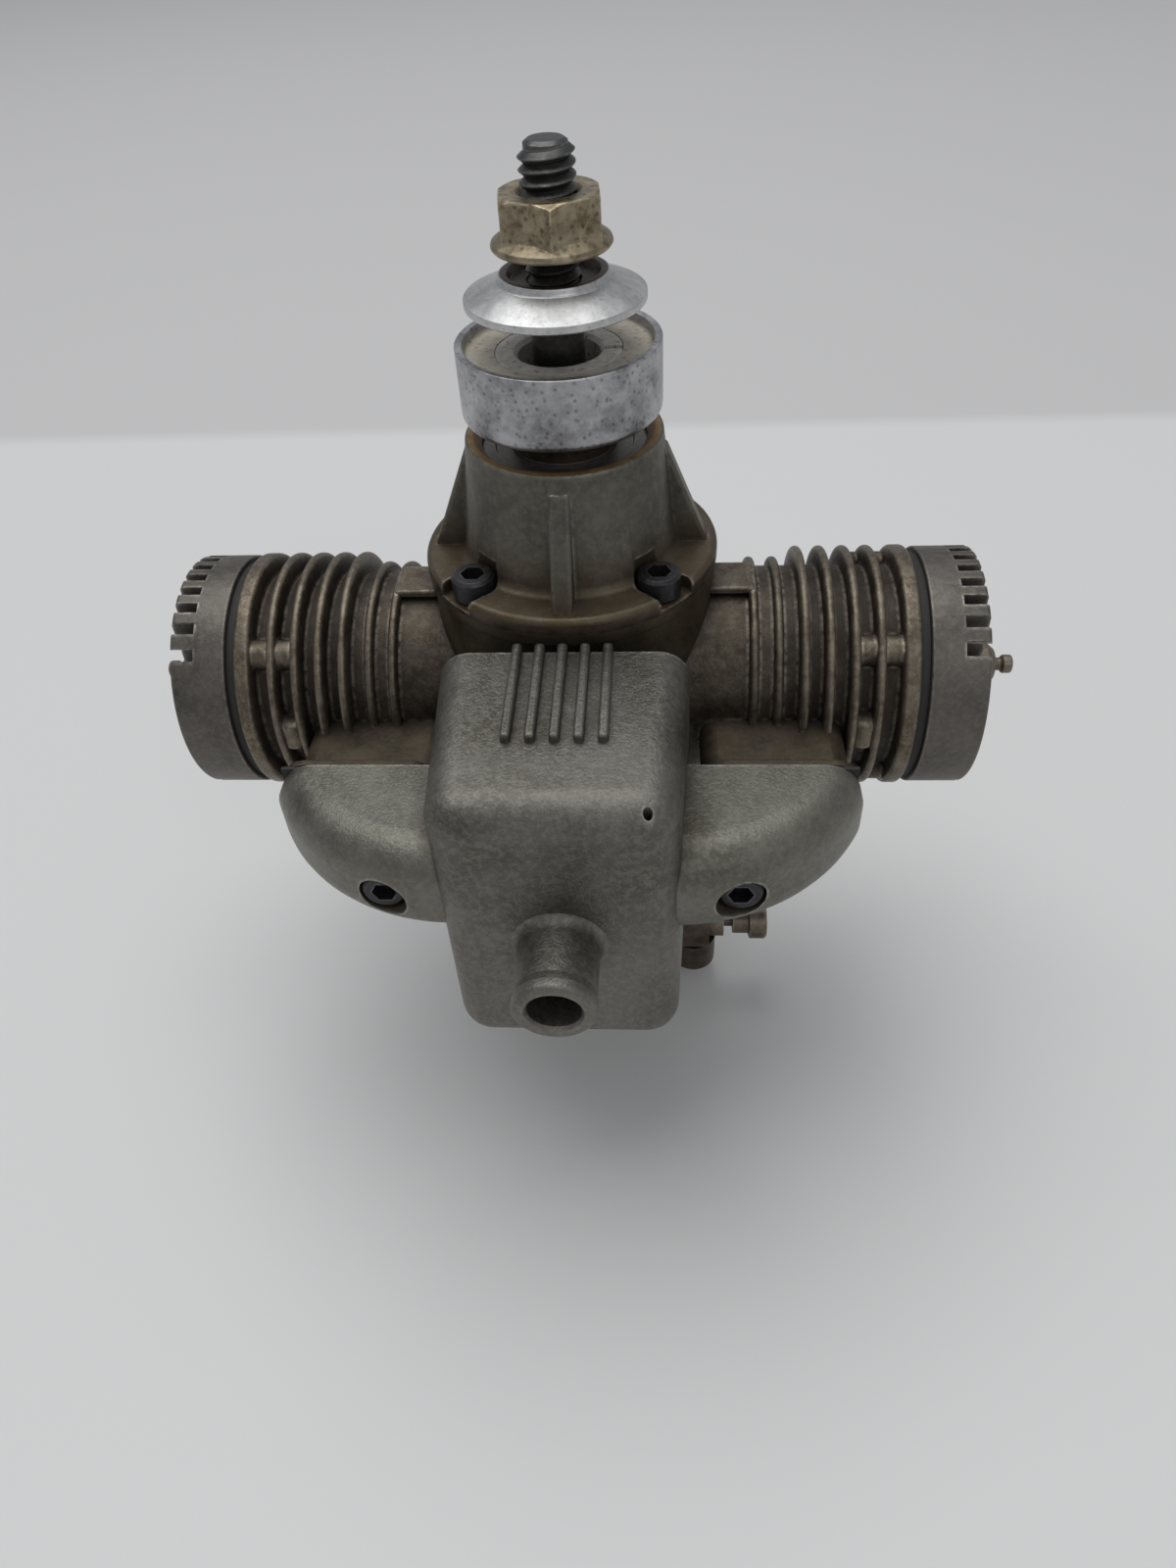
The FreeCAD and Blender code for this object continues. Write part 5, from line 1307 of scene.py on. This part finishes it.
@dataclass
class Jackets:
    """Crankcase drum with its two finned jackets."""

    drum_radius: float = 19.3
    drum_foot: float = 3.0
    drum_top: float = 41.7
    drum_bore: float = 14.0
    drum_lip: float = 0.35
    core_radius: float = 14.6
    core_start: float = 15.0
    fin_radius: float = 17.35
    inner_fin_radius: float = 15.9
    fin_thickness: float = 1.15
    fin_pitch: float = 3.33
    fins: int = 6
    inner_fins: int = 2
    thick_fin: float = 2.2
    first_fin: float = 41.5
    bulge_radius: float = 13.8
    bulge_start: float = 12.0
    bulge_end: float = 24.0
    bar_width: float = 6.6
    bar_thickness: float = 1.1
    stack_x: Point2 = (17.3, 37.6)
    stack_low: float = 5.8
    stack_high: float = 1.6
    flange_high: float = 5.7
    flange_thickness: float = 1.1
    joint: float = 28.0
    neck_end: float = -12.9
    boss_circle: float = 29.4
    boss_radius: float = 2.1
    lug: Point3 = (39.85, -15.3, 22.6)
    lug_radius: float = 1.9
    lug_height: float = 4.2

    def fin(self, x: float, radius: float, thickness: float) -> Piece:
        """Fin with a rounded crest.

        Args:
            x: The fin's middle along the cylinder.
            radius: Radius of its crest.
            thickness: Thickness in millimetres.

        Returns:
            The new object.
        """
        half = thickness / 2
        crest = min(half * 0.95, 0.55)
        return turned("fin", [
            (self.core_radius - 0.8, x - half - 0.12), (radius, x - half, crest), (radius, x + half, crest),
            (self.core_radius - 0.8, x + half + 0.12),
        ], Axis.X, (0, 0, CYL_Z), steps=128, angle=40.0)

    def jacket(self) -> Piece:
        """Everything of the +X jacket.

        Returns:
            The jacket, joined.
        """
        pieces = [turned("core", [
            (LINER_RADIUS, self.core_start), (self.core_radius, self.core_start),
            (self.core_radius, DECK - 0.1), (LINER_RADIUS, DECK - 0.1),
        ], Axis.X, (0, 0, CYL_Z), steps=128)]
        start, end, inside = self.bulge_start, self.bulge_end + 1.0, LINER_RADIUS + 0.06
        pieces.append(turned("bulge", [
            (inside, start), (self.bulge_radius, start), (self.bulge_radius, end), (inside, end),
        ], Axis.X, (0, 0, CYL_Z), steps=128))
        for i in range(self.fins):
            inner = i >= self.fins - self.inner_fins
            radius = self.inner_fin_radius if inner else self.fin_radius
            pieces.append(self.fin(self.first_fin - self.fin_pitch * i, radius, self.fin_thickness))
        pieces.append(self.fin(DECK - self.thick_fin / 2, self.fin_radius, self.thick_fin))
        top = CYL_Z + self.inner_fin_radius
        half = self.bar_width / 2
        bar = block("bar", (14.0, self.bulge_end + 1.0), (-half, half), (top - self.bar_thickness, top))
        soften(bar, 0.3, 3)
        pieces.append(settle(bar))
        start = self.first_fin - self.fin_pitch
        for y, z in circle_points(self.boss_circle, (45, 135, 225, 315)):
            pieces.append(rod("boss", self.boss_radius, start, DECK - 0.3, Axis.X, (0, y, CYL_Z + z), 32))
        pieces += self.stack()
        half = self.lug_height / 2
        pieces.append(turned("lug", [
            (0, -half), (self.lug_radius, -half, 0.2), (self.lug_radius, half, 0.8), (0, half + 0.3),
        ], Axis.Z, self.lug, steps=40))
        return join(pieces, "right_jacket")

    def stack(self) -> list[Piece]:
        """Exhaust neck with its thin flange behind the manifold wing.

        Returns:
            The neck and the flange.
        """
        low, x = CYL_Z - self.stack_low, self.stack_x
        neck = block(
            "neck", (x[0] + 0.4, x[1] - 0.4), (-self.joint + 0.5, self.neck_end),
            (low, CYL_Z + self.stack_high),
        )
        round_edges(neck, lambda a, b: abs(a.y - b.y) > 5.0, 2.2, 5)
        flange = block(
            "flange", x, (-self.joint, -self.joint + self.flange_thickness), (low, CYL_Z + self.flange_high),
        )
        round_edges(flange, lambda a, b: abs(a.y - b.y) > 0.5, 3.0, 5)
        soften(flange, 0.25, 2)
        return [settle(neck), settle(flange)]

    @staticmethod
    def off_axis(spot: Vector) -> float:
        """Distance from the cylinders' axis."""
        return math.hypot(spot.y, spot.z - CYL_Z)

    def drum(self) -> Piece:
        """Turned crankcase drum, open where the cylinders enter.

        Returns:
            The drum.
        """
        r, foot, top, lip = self.drum_radius, self.drum_foot, self.drum_top, self.drum_radius + self.drum_lip
        drum = turned("crankcase_drum", [
            (self.drum_bore, foot), (r, foot, 0.3), (r, top - 1.8, 0.2), (lip, top - 1.5, 0.2),
            (lip, top, 0.1), (self.drum_bore, top),
        ], steps=144)
        carve(drum, [rod("cylinder_bore", LINER_RADIUS, -r - 2, r + 2, Axis.X, (0, 0, CYL_Z), 96)])
        return settle(drum)

    def build(self, finish: Finishes) -> None:
        """Make and dress the three pieces that stand for the casting.

        Args:
            finish: The materials, by name.
        """
        right = self.jacket()
        left = mirror_of(right, "left_jacket")
        end, reach = self.bulge_end + 0.8, self.bulge_radius + 0.1
        for jacket in (right, left):
            dress(jacket, finish["fins"])
            repaint(jacket, finish["barrel"], lambda c, n: abs(c.x) < end and self.off_axis(c) < reach)
            repaint(jacket, finish["case"], lambda c, n: c.y < -self.fin_radius - 0.05)
        dress(self.drum(), finish["case"], ROOT, ["crankcase"])


@dataclass
class Head:
    """Slotted round head with its plug."""

    end: float = 55.8
    radius: float = 17.1
    plug_radius: float = 3.15
    plug_seat: float = 4.0
    plug_start: float = 51.9
    post_radius: float = 0.95
    post_tip: float = 63.3
    slot: float = 1.4
    slot_depth: float = 3.4
    slot_pitch: float = 2.83
    slots: int = 9
    first_slot: float = -12.2
    screw_circle: float = 29.6
    hole_radius: float = 2.0
    screw_seat: float = 50.4
    gasket_inner: float = 11.3
    gasket_outer: float = 16.4

    def screws(self) -> Piece:
        """Four socket screws deep in their holes.

        Returns:
            The new object.
        """
        screw = SocketScrew(1.85, 2.2, 1.9, 1.2, 24).build("head_screw")
        heads = [
            stand(copy_of(screw, "screw"), (self.screw_seat, y, CYL_Z + z), (1, 0, 0))
            for y, z in circle_points(self.screw_circle, (45, 135, 225, 315))
        ]
        bpy.data.objects.remove(screw)
        return join(heads, "right_head_screw_heads")

    def shell(self) -> Piece:
        """Turned head with its slots and screw holes.

        Returns:
            The new object.
        """
        end, half = self.end, self.slot / 2
        hole, seat = self.plug_radius + 0.04, self.plug_seat + 0.04
        body = turned("right_head_shell", [
            (hole, HEAD_JOINT), (self.radius, HEAD_JOINT, 0.25), (self.radius, end, 0.55), (seat, end),
            (seat, end - 1), (hole, end - 1),
        ], Axis.X, (0, 0, CYL_Z), steps=160, angle=25.0)
        cutters = []
        for i in range(self.slots):
            y = self.first_slot + self.slot_pitch * i
            cutters.append(block(
                "slot", (end - self.slot_depth, end + 1), (y - half, y + half), (CYL_Z - 20, CYL_Z + 20),
            ))
        for y, z in circle_points(self.screw_circle, (45, 135, 225, 315)):
            centre = (0, y, CYL_Z + z)
            cutters.append(rod("hole", self.hole_radius, self.screw_seat, self.end + 1, Axis.X, centre))
        carve(body, cutters)
        soften(body, 0.14, 2, 40.0)
        return settle(body, 30.0)

    def plug(self) -> Piece:
        """Glow plug with its contact post.

        Returns:
            The new object.
        """
        r, wide, seat, start = self.plug_radius, self.plug_seat, self.end - 1.0, self.plug_start
        post, tip = self.post_radius, self.post_tip
        return turned("right_plug", [
            (0, start), (r, start), (r, seat), (wide, seat), (wide, seat + 2.3, 0.3),
            (r + 0.1, seat + 2.8, 0.2), (r + 0.1, 59.4, 0.5), (2.3, 60.5, 0.5), (post, 60.8, 0.1),
            (post, 61.6, 0.1), (post + 0.4, 62.0, 0.15), (post + 0.4, tip, 0.35), (0, tip),
        ], Axis.X, (0, 0, CYL_Z), steps=64, angle=30.0)

    def gasket(self) -> Piece:
        """Dark ring under the head.

        Returns:
            The new object.
        """
        inner, outer = self.gasket_inner, self.gasket_outer
        return turned("right_gasket_ring", [
            (inner, DECK), (outer, DECK, 0.1), (outer, HEAD_JOINT, 0.1), (inner, HEAD_JOINT),
        ], Axis.X, (0, 0, CYL_Z), steps=128)

    def build(self, finish: Finishes) -> None:
        """Make and dress both heads with their plugs and gaskets.

        Args:
            finish: The materials, by name.
        """
        for maker, material, slot, node in (
            (self.shell, "head", "cast_head", "cylinder_head"),
            (self.plug, "tarnished", "plated_steel", "glow_plug"),
            (self.gasket, "fibre", "gasket", "head_gasket"),
            (self.screws, "blackened", "black_screw", "head_screws"),
        ):
            right = maker()
            left = mirror_of(right, right.name.replace("right", "left"))
            dress(right, finish[material], ROOT, ["right_" + node])
            dress(left, finish[material], ROOT, ["left_" + node])


@dataclass
class Silencer:
    """Box silencer with ribs, outlet stub and two manifold wings."""

    half_width: float = 16.0
    back: float = 20.7
    front: float = 48.1
    top: float = 40.0
    foot: float = -6.3
    draft: float = 1.5
    corner: float = 4.2
    plate_half: float = 14.9
    plate_top_half: float = 13.7
    plate_foot_half: float = 12.9
    plate_top: float = 38.9
    plate_shoulder: float = 31.0
    plate_knee: float = 13.0
    plate_foot: float = -4.9
    plate_depth: float = 2.0
    ribs: int = 5
    rib_pitch: float = 2.85
    rib_width: float = 1.25
    rib_height: float = 1.3
    rib_root: float = 1.2
    rib_length: float = 16.6
    rib_start: float = 20.3
    outlet_z: float = 16.2
    outlet_tip: float = 58.2
    outlet_radius: float = 5.15
    bore_radius: float = 3.25
    wing_tip: float = 37.9
    wing_low: float = 7.8
    wing_high: float = 6.2
    wing_joint: float = 28.5
    wing_front: float = 45.6
    wing_root: float = 10.5
    wing_bend: Point2 = (33.0, 37.7)
    upper_round: float = 6.3
    lower_round: float = 5.4
    screw_x: float = 22.0
    screw_z: float = 20.3
    screw_face: float = 43.5
    counterbore: float = 3.12
    sunk: float = 3.5
    pinhole: Point2 = (10.9, 46.6)
    pinhole_radius: float = 0.55

    def box(self) -> Piece:
        """Rounded box that narrows a little towards its front.

        Returns:
            The new object.
        """
        corners = [
            (-self.half_width, self.foot), (self.half_width, self.foot),
            (self.half_width, self.top), (-self.half_width, self.top),
        ]
        outline = [(x, -self.back, z) for x, z in corners]
        body = extruded("muffler_shell", outline, (0, self.back - self.front, 0))
        middle = (self.top + self.foot) / 2
        for vertex in body.data.vertices:
            if vertex.co.y < -(self.front - 1.0) * MM:
                vertex.co.x -= math.copysign(self.draft * MM, vertex.co.x)
                vertex.co.z -= math.copysign(self.draft * MM, vertex.co.z - middle * MM)
        round_edges(body, lambda a, b: min(a.y, b.y) < -self.back - 1.0, self.corner, 10)
        carve(body, [self.plate_pocket()])
        return settle(body, 40.0)

    def plate_pocket(self) -> Piece:
        """Cutter for the pocket that the back plate sits in.

        Returns:
            The new object.
        """
        side = [
            (self.plate_top_half, self.plate_top), (self.plate_half, self.plate_shoulder),
            (self.plate_half, self.plate_knee), (self.plate_foot_half, self.plate_foot),
        ]
        outline = side + [(-x, z) for x, z in reversed(side)]
        start = -self.back + 1.0
        pocket = extruded("pocket", [(x, start, z) for x, z in outline], (0, -self.plate_depth - 1.0, 0))
        ends = (self.plate_top, self.plate_foot)
        round_edges(
            pocket, lambda a, b: abs(a.y - b.y) > 1.0 and min(abs(a.z - end) for end in ends) < 0.1, 4.1, 6,
        )
        return settle(pocket)

    def slope(self, y: float) -> float:
        """Drop of the box's top at a distance in front of its back."""
        return self.draft * (y - self.back) / (self.front - self.back)

    def rib(self, x: float) -> Piece:
        """Rib along the top of the box, with a rounded crest.

        Args:
            x: The rib's middle across the box.

        Returns:
            The new object.
        """
        half, start, end = self.rib_width / 2, self.rib_start, self.rib_start + self.rib_length
        height = (self.top - self.rib_root, self.top + self.rib_height)
        piece = block("rib", (x - half, x + half), (-end, -start), height)
        for vertex in piece.data.vertices:
            vertex.co.z -= self.slope(-vertex.co.y / MM) * MM
        soften(piece, 0.45, 4)
        return settle(piece)

    def stub(self) -> Piece:
        """Outlet stub with its flared root, rounded rim and open bore.

        Returns:
            The new object.
        """
        root, tip = -self.front, -self.outlet_tip
        outer, bore = self.outlet_radius, self.bore_radius
        return turned("stub", [
            (bore, root + 4.0), (bore, tip + 0.5, 0.2), (bore + 0.35, tip, 0.2), (outer, tip, 0.7),
            (outer, tip + 1.5, 0.8), (outer - 0.22, tip + 2.6, 1.0), (outer - 0.1, root - 0.3, 2.2),
            (outer + 2.2, root + 0.5), (outer, root + 1.0), (bore + 0.3, root + 2.0),
        ], Axis.Y, (0, 0, self.outlet_z), steps=96, angle=40.0)

    def shell(self) -> Piece:
        """Box, ribs and stub as one casting.

        Returns:
            The new object.
        """
        body = self.box()
        ribs = [self.rib((i - (self.ribs - 1) / 2) * self.rib_pitch) for i in range(self.ribs)]
        blend_in(body, ribs)
        face, top = self.front, self.top
        pin_x, pin_y = self.pinhole
        carve(body, [
            rod("bore", self.bore_radius + 0.2, -face - 2, -face + 8, Axis.Y, (0, 0, self.outlet_z)),
            rod("pinhole", self.pinhole_radius, top - 6.0, top + 2.0, Axis.Z, (pin_x, -pin_y, 0), 24),
        ])
        return join([settle(body, 40.0), self.stub()], "muffler_shell")

    def wing(self) -> Piece:
        """Manifold wing on the +X side, with a full round along its outer side.

        Returns:
            The new object.
        """
        low, high = CYL_Z - self.wing_low, CYL_Z + self.wing_high
        start = Vector((self.wing_tip, -self.wing_joint - 2.2))
        bend = Vector((self.wing_bend[0], -self.wing_bend[1]))
        end = Vector((self.wing_root, -self.wing_front))
        outline = [(self.wing_root, -self.wing_joint, low), (self.wing_tip, -self.wing_joint, low)]
        outline += [(p.x, p.y, low) for p in arc_through(start, bend, end, 24)]
        body = extruded("right_manifold_shell", outline, (0, 0, high - low), 50.0)

        def outer_edge(a: Vector, b: Vector, level: float) -> bool:
            """Whether an edge lies along the curved side at a level.

            Args:
                a: One end in millimetres.
                b: The other end.
                level: The height.

            Returns:
                True on the curved side.
            """
            level_edge = abs(a.z - level) < 0.01 and abs(b.z - level) < 0.01
            outside = min(a.y, b.y) < -self.wing_joint - 0.3 and max(a.x, b.x) > self.wing_root + 0.2
            return level_edge and outside

        round_edges(body, lambda a, b: outer_edge(a, b, high), self.upper_round, 9)
        round_edges(body, lambda a, b: outer_edge(a, b, low), self.lower_round, 8)
        settle(body, 50.0)
        carve(body, [rod(
            "counterbore", self.counterbore, -self.wing_front - 3, -self.screw_face + self.sunk,
            Axis.Y, (self.screw_x, 0, self.screw_z), 64,
        )])
        soften(body, 0.12, 2, 55.0)
        return settle(body, 40.0)

    def build(self, finish: Finishes) -> None:
        """Make and dress the silencer, its wings and their screws.

        Args:
            finish: The materials, by name.
        """
        dress(self.shell(), finish["silencer"], ROOT, ["muffler_box"])
        right = self.wing()
        left = mirror_of(right, "left_manifold_shell")
        dress(right, finish["manifold"], ROOT, ["right_exhaust_manifold"])
        dress(left, finish["manifold"], ROOT, ["left_exhaust_manifold"])
        for side, x in (("right", self.screw_x), ("left", -self.screw_x)):
            head = SocketScrew().build(side + "_manifold_screw_head")
            stand(head, (x, -self.screw_face + self.sunk, self.screw_z), (0, -1, 0))
            dress(head, finish["blackened"], ROOT, [side + "_manifold_screw"])


def arc_through(start: Vector, middle: Vector, end: Vector, steps: int) -> list[Vector]:
    """Points of the arc through three points.

    Args:
        start: First point.
        middle: A point on the arc.
        end: Last point.
        steps: Number of chords.

    Returns:
        The points, both ends included.
    """
    a, b, c = start, middle, end
    squares = a.length_squared, b.length_squared, c.length_squared
    twice = 2 * (a.x * (b.y - c.y) + b.x * (c.y - a.y) + c.x * (a.y - b.y))
    hub = Vector((
        sum(q * side for q, side in zip(squares, (b.y - c.y, c.y - a.y, a.y - b.y))) / twice,
        sum(q * side for q, side in zip(squares, (c.x - b.x, a.x - c.x, b.x - a.x))) / twice,
    ))
    radius = (a - hub).length
    first = math.atan2(a.y - hub.y, a.x - hub.x)
    last = math.atan2(c.y - hub.y, c.x - hub.x)
    return [
        hub + radius * Vector((math.cos(t), math.sin(t)))
        for t in (first + (last - first) * i / steps for i in range(steps + 1))
    ]


# ---------------------------------------------------------------- studio
@dataclass
class Studio:
    """Pale floor, soft light and the camera."""

    floor_z: float = -40.0
    floor_size: float = 6.0
    edge_y: float = 208.0
    edge_softness: float = 4.0
    camera: Point3 = (12.7, -130.16, 121.95)
    pitch: float = 43.62
    roll: float = -3.78
    yaw: float = -5.55
    focal: float = 24.975
    floor_roughness: float = 0.55
    sky: Point3 = (0.93, 0.95, 1.0)
    sky_strength: float = 0.36
    floor_colour: Point3 = (0.71, 0.71, 0.70)
    wall_colour: Point3 = (0.60, 0.595, 0.59)

    def floor(self) -> None:
        """Large pale floor, a little darker beyond its far edge."""
        deselect()
        bpy.ops.mesh.primitive_plane_add(size=self.floor_size, location=(0, 0, self.floor_z * MM))
        floor = bpy.context.object
        floor.name = "floor"
        material, tree, shader = new_material("floor")
        soft = self.edge_softness
        far = remap(tree, split_place(tree)["Y"], (self.edge_y - soft) * MM, (self.edge_y + soft) * MM)
        colour = mix(tree, far, rgba(self.floor_colour), rgba(self.wall_colour))
        tree.links.new(colour, shader.inputs["Base Color"])
        shader.inputs["Roughness"].default_value = self.floor_roughness
        floor.data.materials.append(material)

    def lamp(self, name: str, place: Point3, aim: Point3, size: float, power: float) -> None:
        """Square area lamp pointed at a spot.

        Args:
            name: The lamp's name.
            place: Where to, in millimetres.
            aim: The spot to point at.
            size: Side of the lamp in metres.
            power: Power in watts.
        """
        data = bpy.data.lights.new(name, "AREA")
        data.shape = "SQUARE"
        data.size = size
        data.energy = power
        lamp = bpy.data.objects.new(name, data)
        bpy.context.collection.objects.link(lamp)
        lamp.location = Vector(place) * MM
        lamp.rotation_euler = (Vector(aim) - Vector(place)).to_track_quat("-Z", "Y").to_euler()

    def world(self) -> None:
        """Even pale surroundings."""
        world = bpy.data.worlds.new("studio")
        world.use_nodes = True
        back = world.node_tree.nodes["Background"]
        back.inputs["Color"].default_value = rgba(self.sky)
        back.inputs["Strength"].default_value = self.sky_strength
        bpy.context.scene.world = world

    def view(self) -> None:
        """Camera close in front of and above the engine."""
        pitch, roll, yaw = (math.radians(a) for a in (self.pitch, self.roll, self.yaw))
        ahead = Vector((math.sin(yaw), math.cos(yaw), 0.0))
        side = Vector((math.cos(yaw), -math.sin(yaw), 0.0))
        up = Vector((0.0, 0.0, 1.0))
        look = math.cos(pitch) * ahead - math.sin(pitch) * up
        over = math.sin(pitch) * ahead + math.cos(pitch) * up
        right = math.cos(roll) * side + math.sin(roll) * over
        top = -math.sin(roll) * side + math.cos(roll) * over
        data = bpy.data.cameras.new("camera")
        data.sensor_width = 36.0
        data.lens = self.focal
        data.clip_start = 0.005
        data.clip_end = 20.0
        camera = bpy.data.objects.new("camera", data)
        bpy.context.collection.objects.link(camera)
        turn = Matrix((right, top, -look)).transposed().to_4x4()
        camera.matrix_world = Matrix.Translation(Vector(self.camera) * MM) @ turn
        bpy.context.scene.camera = camera

    def build(self) -> None:
        """Set up the floor, the lamps, the surroundings and the camera."""
        self.floor()
        self.world()
        self.lamp("overhead", (-200, 300, 1500), (0, 0, 20), 1.5, 15.0)
        self.lamp("front", (420, -900, 800), (0, -20, 10), 0.6, 1.6)
        self.view()
        bpy.context.scene.view_settings.view_transform = "Standard"


NODE_FINISHES = {
    "case": ("rear_cover",),
    "blackened": ("rear_cover_screws",),
    "silencer": ("carburettor_body", "muffler_plate"),
    "oily": ("fuel_inlet",),
    "tarnished": ("idle_needle", "needle_body", "main_needle"),
    "fibre": ("right_exhaust_gasket", "left_exhaust_gasket"),
    "steel": (
        "crankshaft", "crank_middle_web", "crank_rear_web", "rotary_valve", "throttle_barrel", "throttle_arm",
        *(f"{place}_bearing_{part}" for place in ("main", "nose")
          for part in ("outer_race", "inner_race", "balls")),
        *(f"{side}_{part}" for side in ("right", "left")
          for part in ("liner", "piston", "piston_ring", "wrist_pin", "conrod", "crankpin")),
    ),
}


def main() -> None:
    """Build the studio, the finishes and every sub-assembly."""
    logging.basicConfig(level=logging.INFO, format="%(message)s")
    Studio().build()
    finish = {look.name: look.build() for look in FINISHES}
    for look, nodes in NODE_FINISHES.items():
        for node in nodes:
            dress_node(node, finish[look])
    for assembly in (PropellerDrive(), FrontHousing(), Jackets(), Head(), Silencer()):
        assembly.build(finish)


if __name__ == "__main__":
    main()
